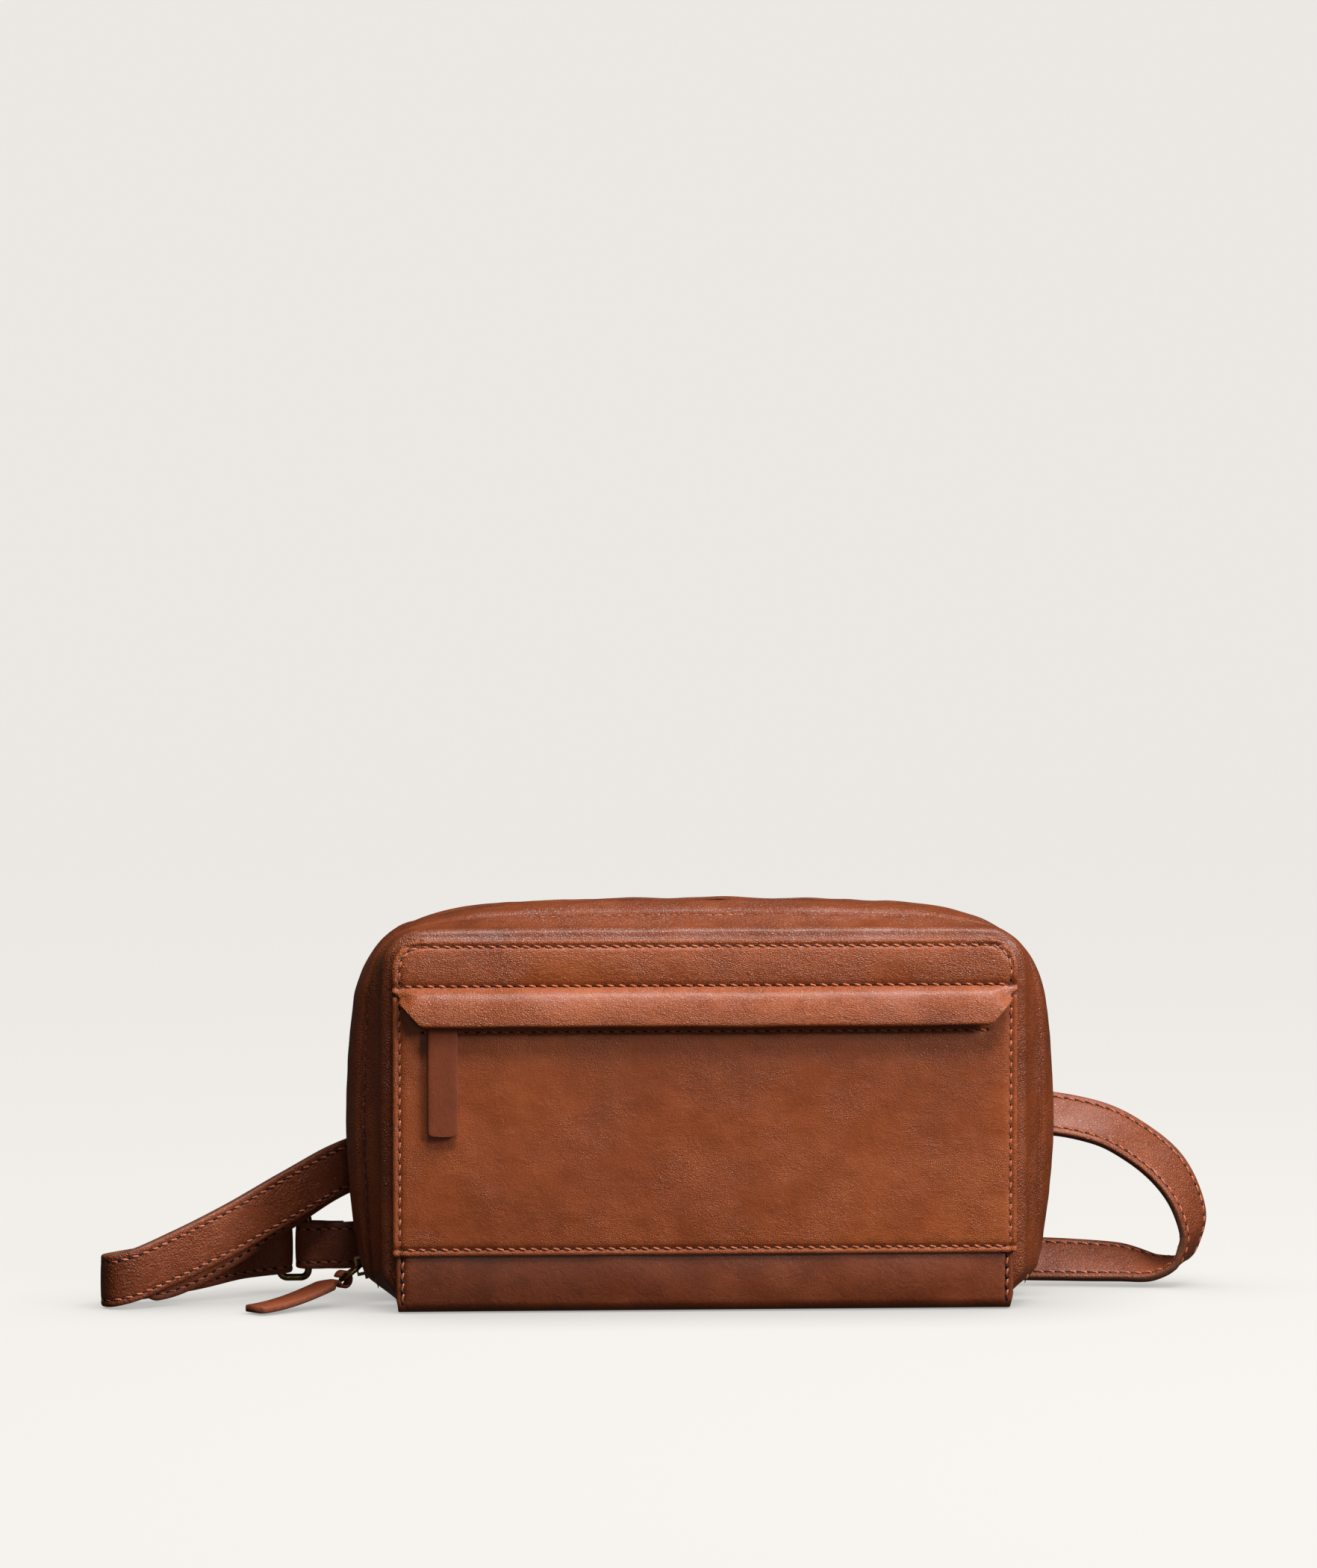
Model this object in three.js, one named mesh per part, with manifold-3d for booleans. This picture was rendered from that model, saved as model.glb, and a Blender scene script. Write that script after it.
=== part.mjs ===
// Leather waist pack with a zip pocket, a clamshell main zip and a buckled belt.
// Millimetres, with the front panel facing -Y and +Z up. The origin is on the floor, under the pack's middle.
import * as THREE from 'three';
import { mergeVertices } from 'three/addons/utils/BufferGeometryUtils.js';
import Module from 'manifold-3d';

const wasm = await Module();
wasm.setup();

// ---------------------------------------------------------------- driving dimensions
const PANEL_HALF_WIDTH = 106.5;      // front and back panels
const PANEL_TOP = 127;
const PANEL_CORNER = 10;
const SIDE_BULGE = 15;               // how far the gusset stands out from the panels at the zip
const CROWN = 11.2;                  // how far the gusset rises over the panels at the zip
const HALF_DEPTH = 30;               // zip plane to the outer face of a panel
const LEATHER = 1.6;
const LINING = 0.7;
const GAP = 0.3;                     // between pieces that touch
const SIDE_ARC_RADIUS = 260;         // the zip's run up each side is one arc
const SIDE_ARC_LOW = 10;             // height where the side arc starts
const SIDE_ARC_MID = 66;             // height where the side is widest
const SIDE_ARC_HIGH = PANEL_TOP - 23;
const ZIP_CHANNEL = 4.2;             // half the bare stretch between the gusset's edges
const ZIP_SLOT = 0.8;                // half the gap between the two rows of teeth
const TOOTH_REACH = 1.8;             // a row's width
const TOOTH_HEIGHT = 1.8;
const TAPE = 0.7;
const BASE_TOP = LEATHER;
const BAND_TOP = 22;
const POCKET_PANEL_LOW = 19.5;
const POCKET_PANEL_TOP = PANEL_TOP - 28.7;
const FLAP_LINE = PANEL_TOP - 16;    // the stitched line that the flap bends along
const FLAP_EDGE = PANEL_TOP - 29.5;
const FLAP_HALF_TOP = PANEL_HALF_WIDTH - 1.2;
const FLAP_HALF_EDGE = PANEL_HALF_WIDTH - 8;
const FLAP_PUFF = 5.7;               // how far the flap stands proud of the panel
const FLAP_SHOULDER = FLAP_LINE - 5; // the flap's ends slant in from here
const FLAP_FADE = PANEL_HALF_WIDTH - 9.5;         // the flap lies flatter from here to its ends
const POCKET_DEPTH = 5.2;
const POCKET_ZIP_HEIGHT = PANEL_TOP - 24.5;
const POCKET_ZIP_HALF = PANEL_HALF_WIDTH - 12.5;
const PULL_WIDTH = 10;
const POCKET_PULL_BOTTOM = POCKET_ZIP_HEIGHT - 42;
const POCKET_SLIDER_X = 4.5 - POCKET_ZIP_HALF;
const STRAP_WIDTH = 17.5;
const STRAP = 3;
const BELT_HEIGHT = 50;              // belt's height behind the pack
const BUCKLE_HALF = 10;              // buckle bars each side of the buckle's middle
const BUCKLE_WIRE = 1.1;             // radius
const PADDING = 3.2;

// ---------------------------------------------------------------- colours
const paint = (color, roughness, metalness = 0) =>
  new THREE.MeshStandardMaterial({ color, roughness, metalness });
const LEATHER_TAN = paint(0x8f4526, 0.5);
const LEATHER_DARK = paint(0x6b2f1c, 0.55);
const LEATHER_STRAP = paint(0x96513a, 0.5);
const LEATHER_PULL = paint(0x7a3a22, 0.55);
const FABRIC = paint(0x4a3428, 0.9);
const LINING_CLOTH = paint(0xb59a78, 0.9);
const BOARD = paint(0x8c7a62, 0.9);
const FOAM = paint(0x3a3a3a, 0.9);
const BRASS = paint(0x5e5132, 0.4, 0.9);
const TEETH = paint(0x4d4028, 0.4, 0.9);

const pack = new THREE.Group();
const add = (name, geometry, material) => {
  const mesh = new THREE.Mesh(geometry, material);
  mesh.name = name;
  pack.add(mesh);
  return mesh;
};

// ---------------------------------------------------------------- solids
const v = (x, y, z) => new THREE.Vector3(x, y, z);

// Closed geometry from points and triangles, turned so that its faces point out.
function closed(points, triangles) {
  let volume = 0;
  for (const [a, b, c] of triangles) volume += points[a].dot(v().crossVectors(points[b], points[c]));
  const order = volume < 0 ? triangles.map(([a, b, c]) => [a, c, b]) : triangles;
  const geometry = new THREE.BufferGeometry();
  geometry.setAttribute('position',
    new THREE.Float32BufferAttribute(points.flatMap((p) => [p.x, p.y, p.z]), 3));
  geometry.setIndex(order.flat());
  return geometry;
}

// A sheet with thickness: two grids of points of the same size, joined round their edges.
function sheet(outer, inner) {
  const rows = outer.length;
  const columns = outer[0].length;
  const points = [...outer.flat(), ...inner.flat()];
  const at = (side, i, j) => side * rows * columns + i * columns + j;
  const triangles = [];
  const quad = (a, b, c, d) => triangles.push([a, b, c], [a, c, d]);
  for (let i = 0; i + 1 < rows; i++) {
    for (let j = 0; j + 1 < columns; j++) {
      quad(at(0, i, j), at(0, i, j + 1), at(0, i + 1, j + 1), at(0, i + 1, j));
      quad(at(1, i, j), at(1, i + 1, j), at(1, i + 1, j + 1), at(1, i, j + 1));
    }
    quad(at(0, i, 0), at(0, i + 1, 0), at(1, i + 1, 0), at(1, i, 0));
    const last = columns - 1;
    quad(at(0, i, last), at(1, i, last), at(1, i + 1, last), at(0, i + 1, last));
  }
  for (let j = 0; j + 1 < columns; j++) {
    quad(at(0, 0, j), at(1, 0, j), at(1, 0, j + 1), at(0, 0, j + 1));
    const last = rows - 1;
    quad(at(0, last, j), at(0, last, j + 1), at(1, last, j + 1), at(1, last, j));
  }
  return closed(points, triangles);
}

// A flat outline in X and Z, from y = low to y = high.
function plate(outline, low, high) {
  const shape = outline instanceof THREE.Shape ? outline : new THREE.Shape(outline);
  const settings = { depth: high - low, bevelEnabled: false, curveSegments: 6 };
  return new THREE.ExtrudeGeometry(shape, settings).rotateX(Math.PI / 2).translate(0, high, 0);
}

const box = (x0, x1, y0, y1, z0, z1) =>
  new THREE.BoxGeometry(x1 - x0, y1 - y0, z1 - z0).translate((x0 + x1) / 2, (y0 + y1) / 2, (z0 + z1) / 2);

// An upright cylinder along Y.
const rod = (radius, x, y0, y1, z, sides = 16) =>
  new THREE.CylinderGeometry(radius, radius, y1 - y0, sides).translate(x, (y0 + y1) / 2, z);

function toManifold(geometry) {
  const bare = geometry.clone();
  bare.deleteAttribute('normal');
  bare.deleteAttribute('uv');
  const merged = mergeVertices(bare, 1e-4);
  return new wasm.Manifold(new wasm.Mesh({
    numProp: 3,
    vertProperties: new Float32Array(merged.attributes.position.array),
    triVerts: new Uint32Array(merged.index.array),
  }));
}

function fromManifold(solid) {
  const mesh = solid.getMesh();
  const geometry = new THREE.BufferGeometry();
  geometry.setAttribute('position', new THREE.Float32BufferAttribute(Array.from(mesh.vertProperties), 3));
  geometry.setIndex(Array.from(mesh.triVerts));
  return geometry;
}

const cut = (geometry, ...tools) =>
  fromManifold(tools.reduce((solid, tool) => solid.subtract(toManifold(tool)), toManifold(geometry)));
const join = (geometry, ...others) =>
  fromManifold(others.reduce((solid, other) => solid.add(toManifold(other)), toManifold(geometry)));

// A flat strap along a smooth path. Each stop is [x, y, z, wx, wy, wz]: the middle and the width's direction.
function strap(stops, width, thickness, steps, taper = () => 1) {
  const middle = new THREE.CatmullRomCurve3(stops.map((s) => v(s[0], s[1], s[2])), false, 'centripetal');
  const across = new THREE.CatmullRomCurve3(stops.map((s) => v(s[3], s[4], s[5])), false, 'catmullrom');
  const points = [];
  for (let i = 0; i <= steps; i++) {
    const t = i / steps;
    const c = middle.getPoint(t);
    const along = middle.getTangent(t);
    const wide = across.getPoint(t);
    wide.addScaledVector(along, -wide.dot(along)).normalize();
    const out = v().crossVectors(along, wide).normalize();
    const w = (width / 2) * taper(t);
    const h = thickness / 2;
    for (const [a, b] of [[-1, -1], [1, -1], [1, 1], [-1, 1]]) {
      points.push(c.clone().addScaledVector(wide, a * w).addScaledVector(out, b * h));
    }
  }
  const triangles = [[0, 1, 2], [0, 2, 3]];
  for (let i = 0; i < steps; i++) {
    for (let k = 0; k < 4; k++) {
      const a = 4 * i + k;
      const b = 4 * i + ((k + 1) % 4);
      triangles.push([a, a + 4, b + 4], [a, b + 4, b]);
    }
  }
  const e = 4 * steps;
  triangles.push([e, e + 2, e + 1], [e, e + 3, e + 2]);
  return closed(points, triangles);
}

// ---------------------------------------------------------------- outlines
// Both outlines run from the lower right corner over the top to the lower left, point for point.
const LOWER_STEPS = 2;
const SIDE_STEPS = 9;
const CORNER_STEPS = 9;
const TOP_STEPS = 3;
const CORNER_END = PANEL_HALF_WIDTH - 33.5;
const HALF_WIDTH = PANEL_HALF_WIDTH + SIDE_BULGE;
const TOP = PANEL_TOP + CROWN;
const ARC_CENTRE_X = HALF_WIDTH - SIDE_ARC_RADIUS;
const arcX = (z) => ARC_CENTRE_X + Math.sqrt(SIDE_ARC_RADIUS ** 2 - (z - SIDE_ARC_MID) ** 2);
const FOOT = 2.5;

function midOutline() {
  const points = [];
  const lower = new THREE.QuadraticBezierCurve(
    new THREE.Vector2(PANEL_HALF_WIDTH + 2, FOOT),
    new THREE.Vector2(PANEL_HALF_WIDTH + 6, 5),
    new THREE.Vector2(arcX(SIDE_ARC_LOW), SIDE_ARC_LOW));
  points.push(...lower.getPoints(LOWER_STEPS));
  const turn = (z) => Math.asin((z - SIDE_ARC_MID) / SIDE_ARC_RADIUS);
  for (let i = 1; i <= SIDE_STEPS; i++) {
    const angle = turn(SIDE_ARC_LOW) + ((turn(SIDE_ARC_HIGH) - turn(SIDE_ARC_LOW)) * i) / SIDE_STEPS;
    points.push(new THREE.Vector2(
      ARC_CENTRE_X + SIDE_ARC_RADIUS * Math.cos(angle), SIDE_ARC_MID + SIDE_ARC_RADIUS * Math.sin(angle)));
  }
  const start = points[points.length - 1];
  const lean = Math.tan(turn(SIDE_ARC_HIGH));
  const reach = 18;
  const corner = new THREE.CubicBezierCurve(start,
    new THREE.Vector2(start.x - lean * reach, start.y + reach),
    new THREE.Vector2(CORNER_END + 27, TOP - 4.7),
    new THREE.Vector2(CORNER_END, TOP - 2.2));
  points.push(...corner.getPoints(CORNER_STEPS).slice(1));
  const top = new THREE.CubicBezierCurve(corner.getPoint(1),
    new THREE.Vector2(CORNER_END - 21, TOP - 0.4),
    new THREE.Vector2(CORNER_END * 0.35, TOP),
    new THREE.Vector2(0, TOP));
  points.push(...top.getPoints(TOP_STEPS).slice(1));
  return points;
}

function panelOutline() {
  const points = [];
  const w = PANEL_HALF_WIDTH;
  for (let i = 0; i <= LOWER_STEPS; i++) {
    points.push(new THREE.Vector2(w, FOOT + ((SIDE_ARC_LOW - FOOT) * i) / LOWER_STEPS));
  }
  for (let i = 1; i <= SIDE_STEPS; i++) {
    points.push(new THREE.Vector2(w, SIDE_ARC_LOW + ((SIDE_ARC_HIGH - SIDE_ARC_LOW) * i) / SIDE_STEPS));
  }
  const bend = new THREE.Path();
  bend.moveTo(w, SIDE_ARC_HIGH);
  bend.lineTo(w, PANEL_TOP - PANEL_CORNER);
  bend.absarc(w - PANEL_CORNER, PANEL_TOP - PANEL_CORNER, PANEL_CORNER, 0, Math.PI / 2, false);
  bend.lineTo(CORNER_END, PANEL_TOP);
  points.push(...bend.getSpacedPoints(CORNER_STEPS).slice(1));
  for (let i = 1; i <= TOP_STEPS; i++) {
    points.push(new THREE.Vector2(CORNER_END * (1 - i / TOP_STEPS), PANEL_TOP));
  }
  return points;
}

const mirrored = (right) => [
  ...right, ...right.slice(0, -1).reverse().map((p) => new THREE.Vector2(-p.x, p.y))];
const PANEL = mirrored(panelOutline());
const MID = mirrored(midOutline());

// Outward unit normals along an outline that runs anticlockwise.
function normals(outline) {
  return outline.map((p, i) => {
    const a = outline[Math.max(i - 1, 0)];
    const b = outline[Math.min(i + 1, outline.length - 1)];
    return new THREE.Vector2(b.y - a.y, a.x - b.x).normalize();
  });
}

const grown = (outline, by) => {
  const out = normals(outline);
  return outline.map((p, i) => new THREE.Vector2(p.x + out[i].x * by, p.y + out[i].y * by));
};

// The panel's outline drawn in by an inset, cut off flat at the bottom.
function insetPlate(inset, bottom, low, high) {
  const w = PANEL_HALF_WIDTH - inset;
  const top = PANEL_TOP - inset;
  const r = Math.max(PANEL_CORNER - inset, 2);
  const shape = new THREE.Shape();
  shape.moveTo(-w, bottom);
  shape.lineTo(w, bottom);
  shape.lineTo(w, top - r);
  shape.absarc(w - r, top - r, r, 0, Math.PI / 2, false);
  shape.lineTo(-w + r, top);
  shape.absarc(-w + r, top - r, r, Math.PI / 2, Math.PI, false);
  return plate(shape, low, high);
}

// ---------------------------------------------------------------- gusset halves
// Each row of the gusset is part of the way from the panel's outline to the zip's, and stands proud of it.
const GUSSET_ROWS = [
  // distance from the zip plane, share of the way out, proud
  [HALF_DEPTH - 2.2, 0, 0.4],
  [HALF_DEPTH - 3.0, 0.02, 2.2],
  [HALF_DEPTH - 4.4, 0.06, 2.9],
  [HALF_DEPTH - 6.4, 0.12, 2.3],
  [HALF_DEPTH - 10, 0.3, 1.9],
  [HALF_DEPTH - 16, 0.62, 1.6],
  [HALF_DEPTH - 21, 0.86, 0.9],
  [ZIP_CHANNEL, 1, 0],
];

function gussetHalf(side) {
  const outer = GUSSET_ROWS.map(([depth, share, proud]) => {
    const row = PANEL.map((p, j) => new THREE.Vector2().lerpVectors(p, MID[j], share));
    return grown(row, proud).map((p) => v(p.x, side * depth, Math.max(p.y, FOOT)));
  });
  const inner = GUSSET_ROWS.map(([depth, share, proud], i) => {
    const row = PANEL.map((p, j) => new THREE.Vector2().lerpVectors(p, MID[j], share));
    const lip = i < 3 ? 0.9 : 0;
    return grown(row, proud - LEATHER).map((p) => v(p.x, side * (depth - lip), Math.max(p.y, FOOT)));
  });
  return sheet(outer, inner);
}

// The gusset's outer line at any depth, drawn in by an inset.
function gussetLine(depth, inset) {
  const rows = GUSSET_ROWS;
  const k = rows.findIndex(([d], i) => i > 0 && depth >= d);
  const i = k < 0 ? rows.length - 1 : k;
  const [d0, share0, proud0] = rows[i - 1];
  const [d1, share1, proud1] = rows[i];
  const t = Math.min((d0 - depth) / (d0 - d1), 1);
  const share = share0 + (share1 - share0) * t;
  const row = PANEL.map((p, j) => new THREE.Vector2().lerpVectors(p, MID[j], share));
  return grown(row, proud0 + (proud1 - proud0) * t - inset);
}

// A band that follows the zip's outline, between two depths and two insets.
const ZIP_FROM = LOWER_STEPS;
// The front rows stop above the parked slider, so that the front half swings clear of it.
const zipEnd = (side) => MID.length - ZIP_FROM - (side < 0 ? 1 : 0);
function zipBand(side, near, far, inset0, inset1) {
  const [y0, y1] = [side * near, side * far];
  const rows = (inset) => {
    const line = grown(MID, -inset).slice(ZIP_FROM, zipEnd(side));
    return [y0, y1].map((y) => line.map((p) => v(p.x, y, p.y)));
  };
  return sheet(rows(inset0), rows(inset1));
}
const TOOTH_INSET = 1.2;
const zipTeeth = (side) =>
  zipBand(side, ZIP_SLOT, ZIP_SLOT + TOOTH_REACH, TOOTH_INSET, TOOTH_INSET + TOOTH_HEIGHT);
const TAPE_INSET = LEATHER + 0.5;
const TAPE_WIDTH = 8;
const TAPE_ROWS = [0, 0.2, 0.6, 1];
function zipTape(side) {
  const start = ZIP_SLOT + TOOTH_REACH + GAP;
  const rows = (inset) => TAPE_ROWS.map((share) => {
    const depth = start + TAPE_WIDTH * share;
    return gussetLine(depth, inset).slice(ZIP_FROM, zipEnd(side)).map((p) => v(p.x, side * depth, p.y));
  });
  return sheet(rows(TAPE_INSET), rows(TAPE_INSET + TAPE));
}

// ---------------------------------------------------------------- back half
const PANEL_INNER = HALF_DEPTH - LEATHER;
const PADDING_INNER = PANEL_INNER - GAP - PADDING;
const LINING_INNER = PADDING_INNER - GAP - LINING;
const WALL_INSET = 3.4;
const WALL_FOOT = 7;                 // padding and linings stop this high over the floor
add('back_panel', insetPlate(0, BASE_TOP + GAP, PANEL_INNER, HALF_DEPTH), LEATHER_TAN);
add('back_padding', insetPlate(WALL_INSET, WALL_FOOT, PADDING_INNER, PANEL_INNER - GAP), FOAM);
add('back_lining', insetPlate(WALL_INSET, WALL_FOOT, LINING_INNER, LINING_INNER + LINING), LINING_CLOTH);
add('back_gusset', gussetHalf(1), LEATHER_DARK);
add('main_zip_tape_back', zipTape(1), FABRIC);
add('main_zip_teeth_back', zipTeeth(1), TEETH);

// The slip pocket is a shallow tray of lining cloth with its open side on the back lining.
const SLIP_HALF = PANEL_HALF_WIDTH - 26.5;
const SLIP_LOW = 14;
const SLIP_TOP = PANEL_TOP - 41;
const SLIP_ROOM = 4.8;
const slipBack = LINING_INNER - GAP;
add('slip_pocket', cut(
  box(-SLIP_HALF, SLIP_HALF, slipBack - SLIP_ROOM - LINING, slipBack, SLIP_LOW, SLIP_TOP),
  box(LINING - SLIP_HALF, SLIP_HALF - LINING, slipBack - SLIP_ROOM, slipBack + 1,
    SLIP_LOW + LINING, SLIP_TOP + 1)), LINING_CLOTH);

// ---------------------------------------------------------------- base
const FRONT_LEATHER_BACK = -HALF_DEPTH;             // back of the front panel's leather
const FRONT_FACE = FRONT_LEATHER_BACK - LEATHER;
const BAND_FACE = FRONT_LEATHER_BACK + GAP;         // the band lies behind the panel's lower edge
const BAND_BACK = BAND_FACE + LEATHER;
add('base_panel', box(-PANEL_HALF_WIDTH, PANEL_HALF_WIDTH, BAND_FACE, HALF_DEPTH, 0, BASE_TOP), LEATHER_DARK);
const STIFFENER = 1.6;
const baseInner = BASE_TOP + GAP + STIFFENER;
const baseHalf = PANEL_HALF_WIDTH - 5.5;
const baseFront = 6 - HALF_DEPTH;
const baseBack = HALF_DEPTH - 4;
add('base_stiffener', box(-baseHalf, baseHalf, baseFront, baseBack, BASE_TOP + GAP, baseInner), BOARD);
add('base_lining',
  box(-baseHalf, baseHalf, baseFront, baseBack, baseInner + GAP, baseInner + GAP + LINING), LINING_CLOTH);

// ---------------------------------------------------------------- front half
// The pocket panel reaches up past both ends of the zip, under the flap.
const EAR = 9;
const EAR_TOP = FLAP_LINE - 4;
const pocketShape = new THREE.Shape([
  [-PANEL_HALF_WIDTH, POCKET_PANEL_LOW], [PANEL_HALF_WIDTH, POCKET_PANEL_LOW], [PANEL_HALF_WIDTH, EAR_TOP],
  [PANEL_HALF_WIDTH - EAR, EAR_TOP], [PANEL_HALF_WIDTH - EAR, POCKET_PANEL_TOP],
  [EAR - PANEL_HALF_WIDTH, POCKET_PANEL_TOP], [EAR - PANEL_HALF_WIDTH, EAR_TOP], [-PANEL_HALF_WIDTH, EAR_TOP],
].map(([x, z]) => new THREE.Vector2(x, z)));
add('pocket_panel', plate(pocketShape, FRONT_FACE, FRONT_LEATHER_BACK), LEATHER_TAN);

const stripShape = new THREE.Shape();
stripShape.moveTo(-PANEL_HALF_WIDTH, FLAP_LINE);
stripShape.lineTo(PANEL_HALF_WIDTH, FLAP_LINE);
const cornerX = PANEL_HALF_WIDTH - PANEL_CORNER;
const cornerZ = PANEL_TOP - PANEL_CORNER;
stripShape.lineTo(PANEL_HALF_WIDTH, cornerZ);
stripShape.absarc(cornerX, cornerZ, PANEL_CORNER, 0, Math.PI / 2, false);
stripShape.lineTo(-cornerX, PANEL_TOP);
stripShape.absarc(-cornerX, cornerZ, PANEL_CORNER, Math.PI / 2, Math.PI, false);
add('top_strip', plate(stripShape, FRONT_FACE, FRONT_LEATHER_BACK), LEATHER_TAN);

const BAND_CORNER = 5;
const bandLow = BASE_TOP + GAP;
const bandShape = new THREE.Shape();
bandShape.moveTo(-PANEL_HALF_WIDTH, BAND_TOP);
bandShape.lineTo(-PANEL_HALF_WIDTH, bandLow + 1);
bandShape.lineTo(1 - PANEL_HALF_WIDTH, bandLow);
bandShape.lineTo(PANEL_HALF_WIDTH - BAND_CORNER, bandLow);
bandShape.absarc(PANEL_HALF_WIDTH - BAND_CORNER, bandLow + BAND_CORNER, BAND_CORNER, -Math.PI / 2, 0, false);
bandShape.lineTo(PANEL_HALF_WIDTH, BAND_TOP);
add('bottom_band', plate(bandShape, BAND_FACE, BAND_BACK), LEATHER_DARK);

const TAPE_LOW_EDGE = POCKET_ZIP_HEIGHT - 13.5;
const TAPE_HIGH_EDGE = PANEL_TOP - 6;
const TAPE_HALF = PANEL_HALF_WIDTH - 6.5;
const TEETH_FRONT = FRONT_LEATHER_BACK - 0.6;
const TEETH_BACK = TEETH_FRONT + TOOTH_HEIGHT;
const POCKET_TEETH = 1.6;
const POCKET_SLOT = 0.5;
const tapeBack = FRONT_LEATHER_BACK + GAP + TAPE;
const teethInner = POCKET_SLOT + POCKET_TEETH;
const BACKING = 1.1;
add('front_backing',
  box(-TAPE_HALF, TAPE_HALF, FRONT_LEATHER_BACK + GAP, FRONT_LEATHER_BACK + GAP + BACKING,
    BAND_TOP + GAP, TAPE_LOW_EDGE - GAP), BOARD);
for (const [name, sign, edge] of [['lower', -1, TAPE_LOW_EDGE], ['upper', 1, TAPE_HIGH_EDGE]]) {
  const inner = POCKET_ZIP_HEIGHT + sign * (teethInner + GAP);
  add(`pocket_zip_tape_${name}`, box(-TAPE_HALF, TAPE_HALF, FRONT_LEATHER_BACK + GAP, tapeBack,
    Math.min(inner, edge), Math.max(inner, edge)), FABRIC);
  const a = POCKET_ZIP_HEIGHT + sign * POCKET_SLOT;
  const b = POCKET_ZIP_HEIGHT + sign * teethInner;
  add(`pocket_zip_teeth_${name}`,
    box(-POCKET_ZIP_HALF, POCKET_ZIP_HALF, TEETH_FRONT, TEETH_BACK, Math.min(a, b), Math.max(a, b)), TEETH);
}
const STOP_HALF = 1.3;
for (const [name, sign] of [['left', -1], ['right', 1]]) {
  const x = sign * (POCKET_ZIP_HALF + STOP_HALF + GAP);
  add(`pocket_zip_stop_${name}`, box(x - STOP_HALF, x + STOP_HALF, TEETH_FRONT - 0.2, TEETH_BACK + 0.2,
    POCKET_ZIP_HEIGHT - teethInner, POCKET_ZIP_HEIGHT + teethInner), BRASS);
}

// The pocket bag is a tray of lining cloth, open towards the zip.
const POCKET_HALF = TAPE_HALF - 1;
const POCKET_LOW = BAND_TOP + 4;
const POCKET_TOP = TAPE_HIGH_EDGE;
const trayFront = FRONT_LEATHER_BACK + GAP + BACKING + GAP;
add('pocket_lining', cut(
  box(-POCKET_HALF, POCKET_HALF, trayFront, trayFront + POCKET_DEPTH + LINING, POCKET_LOW, POCKET_TOP),
  box(-POCKET_HALF + LINING, POCKET_HALF - LINING, trayFront - 1, trayFront + POCKET_DEPTH,
    POCKET_LOW + LINING, POCKET_TOP - LINING)), LINING_CLOTH);
const frontLining = trayFront + POCKET_DEPTH + LINING + GAP;
add('front_lining', insetPlate(WALL_INSET, WALL_FOOT, frontLining, frontLining + LINING), LINING_CLOTH);
add('front_gusset', gussetHalf(-1), LEATHER_DARK);
add('main_zip_tape_front', zipTape(-1), FABRIC);
add('main_zip_teeth_front', zipTeeth(-1), TEETH);

// ---------------------------------------------------------------- pocket flap
const FLAP = 1.5;
const smooth = (t) => t * t * (3 - 2 * t);
const clamp01 = (t) => Math.min(Math.max(t, 0), 1);
function flapGeometry() {
  const rows = 8;
  const columns = 16;
  const outer = [];
  const inner = [];
  const top = FLAP_LINE - GAP;
  for (let i = 0; i <= rows; i++) {
    const z = top + ((FLAP_EDGE - top) * i) / rows;
    const narrow = clamp01((FLAP_SHOULDER - z) / (FLAP_SHOULDER - FLAP_EDGE));
    const halfWidth = FLAP_HALF_TOP + (FLAP_HALF_EDGE - FLAP_HALF_TOP) * narrow;
    const swell = smooth(clamp01((top - z) / 5.2)) - 0.04 * clamp01((top - 5.2 - z) / 8);
    const a = [];
    const b = [];
    for (let j = 0; j <= columns; j++) {
      const across = -1 + (2 * j) / columns;
      const x = halfWidth * Math.sign(across) * Math.abs(across) ** 0.9;
      const fade = 1 - 0.45 * clamp01((Math.abs(x) - FLAP_FADE) / 8);
      const y = FRONT_FACE - FLAP_PUFF * swell * fade;
      a.push(v(x, y, z));
      b.push(v(x, y + FLAP, z));
    }
    outer.push(a);
    inner.push(b);
  }
  return sheet(outer, inner);
}
add('pocket_flap', flapGeometry(), LEATHER_TAN);

// ---------------------------------------------------------------- pocket slider and pull
// The slider's two plates hold the teeth between them. A rivet on its front carries a swivel for the pull.
const sx = POCKET_SLIDER_X;
const sz = POCKET_ZIP_HEIGHT;
const SLIDER_HALF_LENGTH = 4.2;
const SLIDER_HALF_WIDTH = 3.6;
const SLIDER_PLATE = 1;
const plateFront = TEETH_FRONT - GAP - SLIDER_PLATE;
const plateBack = TEETH_BACK + GAP;
const SWIVEL = 1.2;
const swivelBack = plateFront - 0.5;
const swivelFront = swivelBack - SWIVEL;
const RIVET = 1.05;
const RIVET_HEAD = 1.9;
add('pocket_slider', join(
  box(sx - SLIDER_HALF_LENGTH, sx + SLIDER_HALF_LENGTH, plateFront, plateFront + SLIDER_PLATE,
    sz - SLIDER_HALF_WIDTH, sz + SLIDER_HALF_WIDTH),
  box(sx - SLIDER_HALF_LENGTH, sx + SLIDER_HALF_LENGTH, plateBack, plateBack + SLIDER_PLATE,
    sz - SLIDER_HALF_WIDTH, sz + SLIDER_HALF_WIDTH),
  box(sx - 1.5, sx + 1.5, plateFront + 0.4, plateBack + 0.5, sz - 0.25, sz + 0.25),
  rod(RIVET, sx, swivelFront - 0.6, plateFront + 0.4, sz, 12),
  rod(RIVET_HEAD, sx, swivelFront - 1, swivelFront - GAP, sz, 12)), BRASS);
const BAR_Z = sz - 4.4;
const barY = swivelFront + 0.2;
const BAR = 0.55;
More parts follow.
